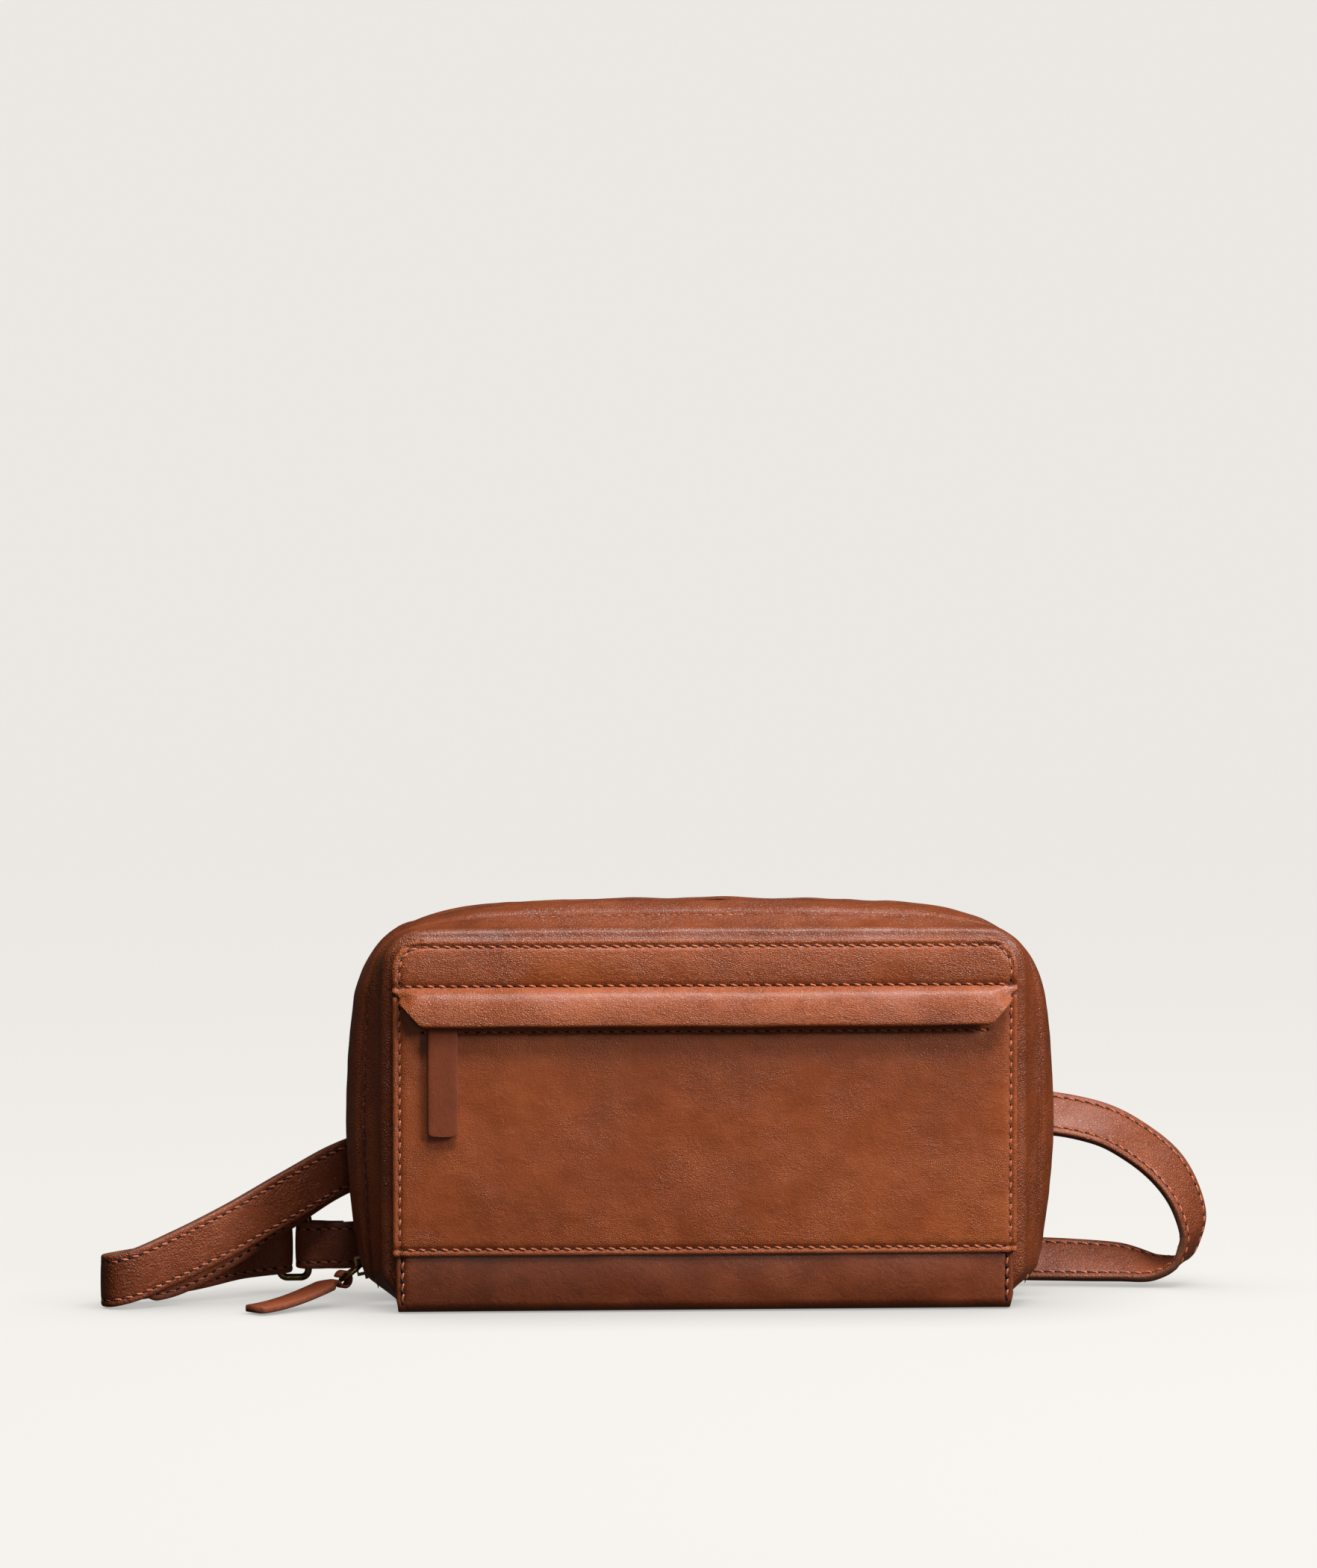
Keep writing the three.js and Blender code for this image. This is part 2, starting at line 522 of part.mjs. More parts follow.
add('pocket_pull_link', join(
  cut(rod(2.9, sx, swivelFront, swivelBack, sz, 16), rod(1.4, sx, swivelFront - 1, swivelBack + 1, sz, 12)),
  box(sx - 1.2, sx + 1.2, barY - 0.4, barY + 0.4, BAR_Z, sz - 2.2),
  new THREE.CylinderGeometry(BAR, BAR, PULL_WIDTH, 8).rotateZ(Math.PI / 2).translate(sx, barY, BAR_Z)),
BRASS);
const POCKET_EYE = 1.45;
const POCKET_PULL_HALF = 1.05;       // half the pull's thickness
// Side view of the pocket pull: an eye round the bar, then a strip that hangs down.
function pullProfile() {
  const shape = new THREE.Shape();
  const eyeTurn = Math.acos(POCKET_PULL_HALF / POCKET_EYE);
  shape.moveTo(-POCKET_PULL_HALF, -POCKET_EYE * Math.sin(eyeTurn));
  shape.absarc(0, 0, POCKET_EYE, Math.PI + eyeTurn, -eyeTurn, true);
  shape.lineTo(POCKET_PULL_HALF, POCKET_PULL_BOTTOM - BAR_Z);
  shape.lineTo(-POCKET_PULL_HALF, POCKET_PULL_BOTTOM - BAR_Z);
  const hole = new THREE.Path();
  hole.absarc(0, 0, BAR + 0.32, 0, Math.PI * 2, false);
  shape.holes.push(hole);
  return shape;
}
const pullBlank = new THREE.ExtrudeGeometry(pullProfile(),
  { depth: PULL_WIDTH, bevelEnabled: false, curveSegments: 8 })
  .rotateX(Math.PI / 2).rotateZ(Math.PI / 2).translate(sx - PULL_WIDTH / 2, barY, BAR_Z);
add('pocket_pull',
  cut(pullBlank, box(sx - 1.6, sx + 1.6, barY - 3, barY + 3, BAR_Z - 0.6, BAR_Z + 3)), LEATHER_PULL);

// ---------------------------------------------------------------- main slider, ring and pull
const SLIDER_Z = SIDE_ARC_LOW + 3;   // the slider rests near the zip's lower left end
const sliderAngle = Math.asin((SLIDER_Z - SIDE_ARC_MID) / SIDE_ARC_RADIUS);
// Places a solid made at the arc's rim: its X is outward, its Z is up the arc.
const onLeftArc = (geometry) => geometry
  .rotateY(-sliderAngle)
  .translate(ARC_CENTRE_X + SIDE_ARC_RADIUS * Math.cos(sliderAngle), 0, SLIDER_Z)
  .scale(-1, 1, 1);
const flipFaces = (geometry) => {
  const flat = geometry.index ? geometry.toNonIndexed() : geometry;
  const p = flat.attributes.position;
  for (let i = 0; i < p.count; i += 3) {
    const a = [p.getX(i), p.getY(i), p.getZ(i)];
    p.setXYZ(i, p.getX(i + 1), p.getY(i + 1), p.getZ(i + 1));
    p.setXYZ(i + 1, ...a);
  }
  return flat;
};
const rimBox = (...edges) => flipFaces(onLeftArc(box(...edges)));
add('main_slider', cut(join(
  rimBox(-0.7, 0.4, -3.8, 3.8, -4.5, 4.5),
  rimBox(-4.6, -3.5, -3.8, 3.8, -4.5, 4.5),
  rimBox(-4, 0, -0.5, 0.5, 1.5, 4.2),
  rimBox(0, 2.9, -1.2, 1.2, -3.4, 3.4)),
rimBox(0.41, 2.25, -2, 2, -2.5, 2.5)), BRASS);

const RING_RADIUS = 4.2;
const RING_WIRE = 0.75;
const ringDrop = THREE.MathUtils.degToRad(36);
const rimOut = (d) => v(
  -(ARC_CENTRE_X + (SIDE_ARC_RADIUS + d) * Math.cos(sliderAngle)), 0,
  SIDE_ARC_MID + (SIDE_ARC_RADIUS + d) * Math.sin(sliderAngle));
const bail = rimOut(1.25);
const ringWay = v(-Math.cos(ringDrop), 0, -Math.sin(ringDrop));
const ringMiddle = bail.clone().addScaledVector(ringWay, RING_RADIUS);
const ringGeometry = new THREE.TorusGeometry(RING_RADIUS, RING_WIRE, 8, 28)
  .rotateY(-ringDrop).translate(ringMiddle.x, ringMiddle.y, ringMiddle.z);
add('main_pull_link', ringGeometry, BRASS);

const PULL_TURN = THREE.MathUtils.degToRad(40);   // the pull leaves the ring this far towards the front
const PULL_NECK = 3.4;
const PULL_EYE = 3.1;
const PULL_EYE_HOLE = 2.1;
const PULL_THICK = 2.3;
const pullWay = v(-Math.cos(PULL_TURN), -Math.sin(PULL_TURN), 0);
const eyeMiddle = ringMiddle.clone()
  .addScaledVector(ringWay, RING_RADIUS * Math.cos(PULL_TURN))
  .add(v(0, -RING_RADIUS * Math.sin(PULL_TURN), 0));
const MAIN_PULL_REACH = 40;
// Side view of the main pull, from the eye at the origin along +X, drooping to the floor.
function mainPullSide() {
  const steps = 10;
  const tip = PULL_THICK + 0.4 - eyeMiddle.z;
  const root = PULL_EYE * 0.8;
  const shape = new THREE.Shape();
  const upper = [];
  for (let i = 0; i <= steps; i++) {
    const t = i / steps;
    upper.push(new THREE.Vector2(
      root + (MAIN_PULL_REACH - root) * t, 1 + (tip - 1) * Math.sin((t * Math.PI) / 2)));
  }
  shape.moveTo(upper[steps].x, upper[steps].y);
  for (let i = steps - 1; i >= 1; i--) shape.lineTo(upper[i].x, upper[i].y);
  shape.absarc(0, 0, PULL_EYE, 0.35, Math.PI * 2 - 0.5, false);
  for (let i = 1; i <= steps; i++) shape.lineTo(upper[i].x, upper[i].y - PULL_THICK);
  const hole = new THREE.Path();
  hole.absarc(0, 0, PULL_EYE_HOLE, 0, Math.PI * 2, false);
  shape.holes.push(hole);
  return shape;
}
const mainPullBlank = new THREE.ExtrudeGeometry(mainPullSide(),
  { depth: PULL_WIDTH, bevelEnabled: false, curveSegments: 7 })
  .translate(0, 0, -PULL_WIDTH / 2);
const NECK_END = 6.5;
const neckCut = (low) => box(-6, NECK_END, -8, 8, low, low + 8);
add('main_pull', cut(mainPullBlank, neckCut(PULL_NECK / 2), neckCut(-8 - PULL_NECK / 2))
  .rotateX(Math.PI / 2).rotateZ(Math.PI + PULL_TURN)
  .translate(eyeMiddle.x, eyeMiddle.y, eyeMiddle.z), LEATHER_PULL);

// ---------------------------------------------------------------- belt
// Both straps lean on the floor at their outer bends and cross behind the pack at belt height.
const BEHIND = HALF_DEPTH + GAP + STRAP / 2;      // middle of a strap sewn to the back panel
const LAYER = STRAP + 0.4;                        // from one layer of strap to the next
const BELT_Y = BEHIND + 6.7;                      // middle of the buckle
const LOW = STRAP_WIDTH / 2 + 0.35;               // middle of a strap that stands on the floor
const UP = [0, 0, 1];
const side = (d) => HALF_WIDTH + d;               // places told from the pack's side and from its back
const rear = (d) => HALF_DEPTH + d;

// Stops of a strap folded back round an upright bar: from the end of the fold, round, and back to it.
function fold([x, y], [dx, dy], wire, z, lean, length, drop = 0) {
  const grip = wire + GAP + STRAP / 2;
  const spot = (along, off) => [
    x + dx * along - dy * off, y + dy * along + dx * off, z + drop * along, ...lean];
  return [
    spot(length, LAYER / 2), spot(length * 0.55, LAYER / 2), spot(grip * 1.7, grip * 0.8),
    spot(grip * 0.5, grip * 1.02), spot(-grip * 0.35, grip * 0.94), spot(-grip * 0.88, grip * 0.48),
    spot(-grip, 0), spot(-grip * 0.88, -grip * 0.48), spot(-grip * 0.35, -grip * 0.94),
    spot(grip * 0.5, -grip * 1.02),
    spot(grip * 1.7, -grip * 0.8), spot(length * 0.55, -LAYER / 2), spot(length, -LAYER / 2)];
}

// The ring: an upright brass loop with rounded ends, and a strap folded round each of its long bars.
const RING_WIRE_BELT = 1.25;
const RING_SPAN = 2 * (RING_WIRE_BELT + GAP + STRAP) + 0.9;
const RING_LOW = 4.3;                             // middle of the lower end's wire
const RING_HIGH = RING_LOW + STRAP_WIDTH + 5.2;
const RING_AT = [-side(18.7), rear(5.6)];
const ringBar = (sign) => [RING_AT[0] + (sign * RING_SPAN) / 2, RING_AT[1]];
function loopTube(x, y, halfWidth, low, high, corner, radius, sides) {
  const rect = new THREE.Path();
  rect.moveTo(halfWidth, low + corner);
  rect.lineTo(halfWidth, high - corner);
  rect.absarc(halfWidth - corner, high - corner, corner, 0, Math.PI / 2, false);
  rect.lineTo(corner - halfWidth, high);
  rect.absarc(corner - halfWidth, high - corner, corner, Math.PI / 2, Math.PI, false);
  rect.lineTo(-halfWidth, low + corner);
  rect.absarc(corner - halfWidth, low + corner, corner, Math.PI, Math.PI * 1.5, false);
  rect.lineTo(halfWidth - corner, low);
  rect.absarc(halfWidth - corner, low + corner, corner, -Math.PI / 2, 0, false);
  const list = rect.getPoints(4).filter((p, i, all) => i === 0 || p.distanceTo(all[i - 1]) > 1e-6);
  if (list[0].distanceTo(list[list.length - 1]) < 1e-6) list.pop();
  const points = [];
  const triangles = [];
  list.forEach((p, i) => {
    const a = list[(i - 1 + list.length) % list.length];
    const b = list[(i + 1) % list.length];
    const u = new THREE.Vector2(p.x - a.x, p.y - a.y).normalize();
    const w = new THREE.Vector2(b.x - p.x, b.y - p.y).normalize();
    const t = u.clone().add(w).normalize();
    const miter = 1 / Math.max(t.dot(u), 0.5);
    for (let k = 0; k < sides; k++) {
      const angle = (2 * Math.PI * k) / sides;
      const off = Math.cos(angle) * radius * miter;
      points.push(v(x + p.x + t.y * off, y + Math.sin(angle) * radius, p.y - t.x * off));
    }
  });
  for (let i = 0; i < list.length; i++) {
    for (let k = 0; k < sides; k++) {
      const q = (j, m) => (j % list.length) * sides + (m % sides);
      triangles.push([q(i, k), q(i + 1, k), q(i + 1, k + 1)], [q(i, k), q(i + 1, k + 1), q(i, k + 1)]);
    }
  }
  return closed(points, triangles);
}
add('belt_ring', loopTube(...RING_AT, RING_SPAN / 2, RING_LOW, RING_HIGH, 2.6, RING_WIRE_BELT, 8), BRASS);

const ringStrapZ = RING_LOW + 1.85 + STRAP_WIDTH / 2;
const TAB_Z = ringStrapZ + 1.5;
const FOLD = 17;
add('belt_tab_left', strap([
  [42.5 - PANEL_HALF_WIDTH, BEHIND, TAB_Z, ...UP], [24.5 - PANEL_HALF_WIDTH, BEHIND, TAB_Z, ...UP],
  [4.5 - PANEL_HALF_WIDTH, BEHIND + 0.2, TAB_Z, ...UP], [-side(-7.5), RING_AT[1] - 2.4, TAB_Z - 0.2, ...UP],
  ...fold(ringBar(1), [0.995, -0.1], RING_WIRE_BELT, TAB_Z - 0.6, UP, FOLD * 0.72).reverse(),
], STRAP_WIDTH - 1.5, STRAP, 60), LEATHER_STRAP);

// The left strap runs from the ring to the far bend, back up behind the pack and round the buckle's bar.
const BUCKLE_X = -14;
const BUCKLE_WIRE_BAR = [BUCKLE_X - BUCKLE_HALF, BELT_Y];
const lean = [0, 0.12, 0.99];
const rise = (share) => BELT_HEIGHT * share;
const leftStops = [
  ...fold(ringBar(-1), [-0.9, -0.436], RING_WIRE_BELT, ringStrapZ, UP, FOLD, -0.07).reverse(),
  [-side(52.5), rear(-12.4), LOW + 2.5, ...lean], [-side(68.5), rear(-21.4), LOW + 0.8, ...lean],
  [-side(78), rear(-28.4), LOW + 0.2, ...UP], [-side(83.1), rear(-35), LOW, ...UP],
  [-side(81.1), rear(-41.2), LOW + 0.4, 0, -0.1, 1], [-side(74), rear(-42.2), LOW + 2.1, 0, -0.1, 1],
  [-side(58.5), rear(-34.5), rise(0.34), 0, -0.08, 1], [-side(40.5), rear(-24.1), rise(0.496), 0, -0.05, 1],
  [-side(20.5), rear(-12.1), rise(0.696), ...UP], [-side(2.5), rear(-1.4), rise(0.868), ...UP],
  [-side(-13.5), rear(4.2), rise(0.964), ...UP], [-side(-29.5), rear(6.4), rise(0.996), ...UP],
  [-side(-47.5), BELT_Y - LAYER / 2, BELT_HEIGHT, ...UP],
  ...fold(BUCKLE_WIRE_BAR, [-1, 0], BUCKLE_WIRE, BELT_HEIGHT, UP, FOLD),
];
const PRONG_HALF = 1.3;
const prongGap = PRONG_HALF + 0.5;
add('belt_strap_left', cut(strap(leftStops, STRAP_WIDTH, STRAP, 120),
  box(BUCKLE_WIRE_BAR[0] - 3.4, BUCKLE_WIRE_BAR[0] + 6, BELT_Y - 3.2, BELT_Y + 8,
    BELT_HEIGHT - prongGap, BELT_HEIGHT + prongGap)), LEATHER_STRAP);

add('buckle_frame', loopTube(BUCKLE_X, BELT_Y, BUCKLE_HALF, BELT_HEIGHT - STRAP_WIDTH / 2 - 2.4,
  BELT_HEIGHT + STRAP_WIDTH / 2 + 2.4, 2.6, BUCKLE_WIRE, 8), BRASS);
const PRONG = 0.8;
const prongFrom = v(BUCKLE_WIRE_BAR[0] + 1.7, BELT_Y + 0.6, BELT_HEIGHT);
const prongTo = v(BUCKLE_X + BUCKLE_HALF + 1.6, BELT_Y + BUCKLE_WIRE + GAP + PRONG + 0.15, BELT_HEIGHT);
const prongLength = prongFrom.distanceTo(prongTo);
const prongTurn = Math.atan2(prongTo.y - prongFrom.y, prongTo.x - prongFrom.x);
add('buckle_prong', join(
  cut(new THREE.CylinderGeometry(2.4, 2.4, PRONG_HALF * 2, 14).rotateX(Math.PI / 2)
    .translate(BUCKLE_WIRE_BAR[0], BELT_Y, BELT_HEIGHT),
  new THREE.CylinderGeometry(1.35, 1.35, PRONG_HALF * 4, 12).rotateX(Math.PI / 2)
    .translate(BUCKLE_WIRE_BAR[0], BELT_Y, BELT_HEIGHT)),
  new THREE.CylinderGeometry(PRONG, PRONG, prongLength, 8).rotateZ(Math.PI / 2 + prongTurn)
    .translate((prongFrom.x + prongTo.x) / 2, (prongFrom.y + prongTo.y) / 2, BELT_HEIGHT)), BRASS);

// The right strap starts sewn low on the back panel, bends on the floor, comes back behind the pack,
// goes through the buckle and ends in a rounded tail that lies along the left strap.
const edgePair = (front, back, lift = 0) => [
  (front[0] + back[0]) / 2, (front[1] + back[1]) / 2, (front[2] + back[2]) / 2 + lift,
  back[0] - front[0], back[1] - front[1], back[2] - front[2]].map((n, i) => (i < 3 ? n : n / 18));
const tailY = BELT_Y + LAYER * 1.5 + 0.2;
const againstLeft = BELT_Y + STRAP / 2 + 0.4;
// The tail lies one strap behind the left strap, which runs forward at about 30 degrees there.
const tailRear = (d) => rear(d + STRAP / Math.cos(Math.PI / 6));
const underBar = BELT_Y - BUCKLE_WIRE - GAP - STRAP / 2;
const LIFT = LOW - 9.1;                           // how far a wider strap's lower run stands up
// One end of the right strap's width, told from the side and the back of the pack.
const at = (x, y, z) => [side(x), rear(y), z];
// The turned strap's front edge has to clear the back panel, so a wider strap stands off further.
const standOff = STRAP_WIDTH * 0.3 - 3.25;
const rightStops = [
  [PANEL_HALF_WIDTH - 42.5, BEHIND, LOW + 3.3, ...UP],
  [PANEL_HALF_WIDTH - 20.5, BEHIND + STRAP_WIDTH * 0.03, LOW + 3.1, ...UP],
  [PANEL_HALF_WIDTH - 6.5, BEHIND + STRAP_WIDTH * 0.145, LOW + 2.1, 0, 0.3, 0.95],
  edgePair(at(-7.5, standOff, 2.4), at(-7.5, standOff + 11, 15.7), LIFT),
  edgePair(at(11, -0.7, 2.2), at(11.5, 12, 14.6), LIFT),
  edgePair(at(28, -4, 2.5), at(30.5, 9.6, 13), LIFT), edgePair(at(39.3, -6.5, 3.6), at(45.5, 8.8, 8.8), LIFT),
  edgePair(at(46.1, -8, 7.4), at(54.9, 7.5, 10.4), LIFT), edgePair(at(49.5, -8.5, 13.7), at(58.6, 6.5, 17.9)),
  edgePair(at(49.7, -8.5, 19), at(59.4, 5, 25.9)), edgePair(at(47.1, -8, 27.2), at(56.2, 4.4, 36.5)),
  edgePair(at(41.4, -7, 35.7), at(49.6, 4.2, 47.2)), edgePair(at(32.5, -6, 43.6), at(39, 5.3, 56)),
  edgePair(at(20.7, -4.5, 50.2), at(24.5, 7.2, 63.4)), edgePair(at(0.5, -2.2, 53.9), at(0.5, 9, 67.7)),
  [PANEL_HALF_WIDTH - 0.5, underBar + 0.2, BELT_HEIGHT + 8.4, 0, 0.3, 0.95],
  [PANEL_HALF_WIDTH - 18.5, underBar + 0.5, BELT_HEIGHT + 5, ...UP],
  [PANEL_HALF_WIDTH - 44.5, underBar + 0.1, BELT_HEIGHT + 1.2, ...UP],
  [34, underBar, BELT_HEIGHT, ...UP], [10, underBar, BELT_HEIGHT, ...UP],
  [BUCKLE_X + BUCKLE_HALF - 0.6, underBar - 0.1, BELT_HEIGHT, ...UP],
  [BUCKLE_X + 2, BELT_Y + 0.6, BELT_HEIGHT, ...UP], [BUCKLE_X - 5.4, tailY - 0.1, BELT_HEIGHT, ...UP],
  [BUCKLE_X - BUCKLE_HALF, tailY + 1.3, BELT_HEIGHT, ...UP], [BUCKLE_X - 22, tailY + 0.1, BELT_HEIGHT, ...UP],
  [BUCKLE_X - 31, tailY - 1.2, BELT_HEIGHT, ...UP], [BUCKLE_X - 42, againstLeft, BELT_HEIGHT, ...UP],
  [-side(-47.5), againstLeft, BELT_HEIGHT, ...UP], [-side(-29.5), againstLeft - 0.3, rise(0.992), ...UP],
  [-side(-13), tailRear(4.44), rise(0.948), ...UP], [-side(4.1), tailRear(-1.46), rise(0.832), ...UP],
  [-side(22.4), tailRear(-12.26), rise(0.624), ...UP],
  [-side(42.4), tailRear(-24.16), rise(0.392), 0, -0.05, 1],
  [-side(60.1), tailRear(-34.36), LOW + 2.5, 0, -0.06, 1],
  [-side(72), tailRear(-39.86), LOW + 0.5, 0, -0.06, 1],
];
const tailTaper = (t) => (t > 0.988 ? Math.sqrt(Math.max(1 - ((t - 0.988) / 0.0125) ** 2, 0.02)) : 1);
const HOLE_RADIUS = 1.8;
const beltHole = (x) => rod(HOLE_RADIUS, x, BELT_Y - 1, BELT_Y + 6, BELT_HEIGHT, 8);
add('belt_strap_right', cut(strap(rightStops, STRAP_WIDTH, STRAP, 190, tailTaper),
  box(BUCKLE_X - 4.5, BUCKLE_X + 9.5, BELT_Y - 4.5, BELT_Y + 8, BELT_HEIGHT - 1.6, BELT_HEIGHT + 1.6),
  beltHole(BUCKLE_X - 48), beltHole(BUCKLE_X - 66)), LEATHER_STRAP);

const KEEPER = 1.4;
const KEEPER_WIDTH = 6;
function keeper(x, low, high) {
  const z = STRAP_WIDTH / 2 + 0.4;
  return cut(
    box(x - KEEPER_WIDTH / 2, x + KEEPER_WIDTH / 2, low - KEEPER, high + KEEPER,
      BELT_HEIGHT - z - KEEPER, BELT_HEIGHT + z + KEEPER),
    box(x - KEEPER_WIDTH, x + KEEPER_WIDTH, low, high, BELT_HEIGHT - z, BELT_HEIGHT + z));
}
const firstLayer = BELT_Y - LAYER / 2 - STRAP / 2;
add('fixed_keeper', keeper(BUCKLE_X - 24, firstLayer - GAP, tailY + STRAP / 2 + 0.6), LEATHER_STRAP);
add('sliding_keeper', keeper(BUCKLE_X - 45, firstLayer - GAP, againstLeft + STRAP / 2 + 0.7), LEATHER_STRAP);

export default pack;
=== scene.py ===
import math

import bmesh
import bpy
import numpy as np
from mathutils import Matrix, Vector, noise


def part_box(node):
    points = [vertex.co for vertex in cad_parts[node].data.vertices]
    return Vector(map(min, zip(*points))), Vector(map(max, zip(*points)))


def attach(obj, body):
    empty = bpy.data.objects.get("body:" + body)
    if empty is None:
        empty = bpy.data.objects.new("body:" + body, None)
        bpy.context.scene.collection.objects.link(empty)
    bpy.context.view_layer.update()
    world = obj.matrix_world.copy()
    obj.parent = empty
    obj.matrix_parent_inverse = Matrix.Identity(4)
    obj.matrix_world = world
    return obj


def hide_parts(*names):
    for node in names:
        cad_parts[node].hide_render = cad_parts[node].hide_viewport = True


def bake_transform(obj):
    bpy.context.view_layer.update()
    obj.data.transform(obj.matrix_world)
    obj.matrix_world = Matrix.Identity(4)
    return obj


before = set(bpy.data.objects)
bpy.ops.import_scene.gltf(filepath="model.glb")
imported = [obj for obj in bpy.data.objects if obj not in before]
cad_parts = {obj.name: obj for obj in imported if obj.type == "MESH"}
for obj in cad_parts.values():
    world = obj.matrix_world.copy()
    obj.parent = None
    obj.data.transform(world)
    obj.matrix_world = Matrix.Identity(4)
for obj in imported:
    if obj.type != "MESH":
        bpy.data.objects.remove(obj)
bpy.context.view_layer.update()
scene = bpy.context.scene

# ---------------------------------------------------------------- camera
# The pack is looked at from the front, a little from its left, with the lens just over its top edge.
# The object's sizes are in millimetres and are turned into metres as each thing is made.
MM = 0.001
CAMERA_AWAY = 1945
CAMERA_HEIGHT = 257
CAMERA_YAW = math.radians(3.92)
CAMERA_PAN = math.radians(-0.42)
CAMERA_PITCH = math.radians(2.31)
CAMERA_LENS = 129.6

camera_data = bpy.data.cameras.new("camera")
camera_data.lens = CAMERA_LENS
camera_data.sensor_width = 36
camera_data.clip_end = 100
camera = bpy.data.objects.new("camera", camera_data)
scene.collection.objects.link(camera)
camera.location = (
    -CAMERA_AWAY * math.sin(CAMERA_YAW) * MM,
    -CAMERA_AWAY * math.cos(CAMERA_YAW) * MM,
    CAMERA_HEIGHT * MM,
)
camera.rotation_euler = (math.pi / 2 - CAMERA_PITCH, 0, -(CAMERA_YAW + CAMERA_PAN))
scene.camera = camera
scene.view_settings.view_transform = "Standard"

# ---------------------------------------------------------------- studio floor and lights
# A pale seamless paper sweep lies under the pack and rises far behind it.
# The key soft box stands high at the right, a long one hangs over the top, and a weak one fills from ahead.
# the studio itself is told in metres
SWEEP_HALF = 9
SWEEP_FRONT = -9
SWEEP_BACK = 5
SWEEP_BEND = 2
SWEEP_TOP = 9
PAPER = (0.871, 0.847, 0.807)
PAPER_GLOW = 0.95
PAPER_CATCH = 0.06
# the painted contact shadow on the paper: how far it reaches, in metres, and how far it dims the glow
CONTACT_REACH = 0.05
CONTACT_SHADE = 0.45
PAPER_DROP = 0.0003


def linear(*rgb):
    """Scene colour of a colour given as 0 to 255 values."""
    return tuple(c / 255 / 12.92 if c <= 10 else ((c / 255 + 0.055) / 1.055) ** 2.4 for c in rgb) + (1,)


def mesh_piece(name, points, faces, smooth=True):
    """A mesh object from points in millimetres."""
    mesh = bpy.data.meshes.new(name)
    mesh.from_pydata([tuple(float(c) * MM for c in p) for p in points], [], faces)
    mesh.update()
    if smooth:
        mesh.polygons.foreach_set("use_smooth", [True] * len(mesh.polygons))
    piece = bpy.data.objects.new(name, mesh)
    scene.collection.objects.link(piece)
    return piece


def grid_faces(rows, columns, flip=False):
    faces = []
    for i in range(rows - 1):
        for j in range(columns - 1):
            a = i * columns + j
            quad = (a, a + 1, a + columns + 1, a + columns)
            faces.append(quad[::-1] if flip else quad)
    return faces


sweep_line = [(y, 0) for y in (SWEEP_FRONT, -2, -0.5, 0.5, 2)]
for step in range(13):
    turn = step / 12 * math.pi / 2
    rise = SWEEP_BEND * (1 - math.cos(turn))
    sweep_line.append((SWEEP_BACK - SWEEP_BEND + SWEEP_BEND * math.sin(turn), rise))
sweep_line.append((SWEEP_BACK, SWEEP_TOP))
sweep_points = []
for y, z in sweep_line:
    sweep_points += [(x / MM, y / MM, (z - PAPER_DROP) / MM) for x in (-SWEEP_HALF, -1, 1, SWEEP_HALF)]
sweep = mesh_piece("paper_sweep", sweep_points, grid_faces(len(sweep_line), 4))


class Finish:
    """A material that is put together node by node around its one shader."""

    def __init__(self, name, **sockets):
        self.material = bpy.data.materials.new(name)
        self.material.use_nodes = True
        self.tree = self.material.node_tree
        self.shader = self.tree.nodes["Principled BSDF"]
        self.plug(self.shader, sockets)

    def plug(self, node, sockets):
        """Gives sockets, named with _ for a space, a value or another node's output."""
        for name, value in sockets.items():
            socket = node.inputs[name if isinstance(name, int) else name.replace("_", " ")]
            if isinstance(value, bpy.types.NodeSocket):
                self.tree.links.new(value, socket)
            else:
                socket.default_value = value

    def add(self, kind, sockets, output=0, **settings):
        node = self.tree.nodes.new("ShaderNode" + kind)
        for name, value in settings.items():
            setattr(node, name, value)
        self.plug(node, sockets)
        return node.outputs[output]

    def place(self):
        return self.add("TexCoord", {}, "Object")

    def cloud(self, vector, scale, output="Fac", **sockets):
        return self.add("TexNoise", {"Vector": vector, "Scale": scale, **sockets}, output)

    def sum(self, a, b, operation="ADD"):
        return self.add("Math", {0: a, 1: b}, operation=operation)

    def spread(self, value, to_low, to_high, low=0, high=1):
        """Stretches a value's range from low and high to new ones."""
        return self.add("MapRange", {
            "Value": value, "From Min": low, "From Max": high, "To Min": to_low, "To Max": to_high})

    def ramp(self, value, *stops):
        """A run of colours, each at its place along the value."""
        colour = self.add("ValToRGB", {"Fac": value})
        elements = colour.node.color_ramp.elements
        for element, (place, tone) in zip(elements, (stops[0], stops[-1])):
            element.position = place
            element.color = tone
        for place, tone in stops[1:-1]:
            elements.new(place).color = tone
        return colour

    def bump(self, height, distance, strength=1, under=None):
        sockets = {"Height": height, "Distance": distance * MM, "Strength": strength}
        if under:
            sockets["Normal"] = under
        return self.add("Bump", sockets)

    def done(self, **sockets):
        self.plug(self.shader, sockets)
        return self.material


paper = Finish(
    "paper", Base_Color=(PAPER_CATCH, PAPER_CATCH, PAPER_CATCH, 1), Roughness=1, Specular_IOR_Level=0,
    Emission_Color=PAPER + (1,))
# painted contact shadow: the paper's glow is darkened close to whatever stands on it
painted_shadow_nearness = paper.add("AmbientOcclusion", {"Distance": CONTACT_REACH}, "AO", samples=12)
glow = paper.spread(painted_shadow_nearness, PAPER_GLOW * CONTACT_SHADE, PAPER_GLOW)
sweep.data.materials.append(paper.done(Emission_Strength=glow))
sweep.visible_diffuse = False
sweep.visible_glossy = False


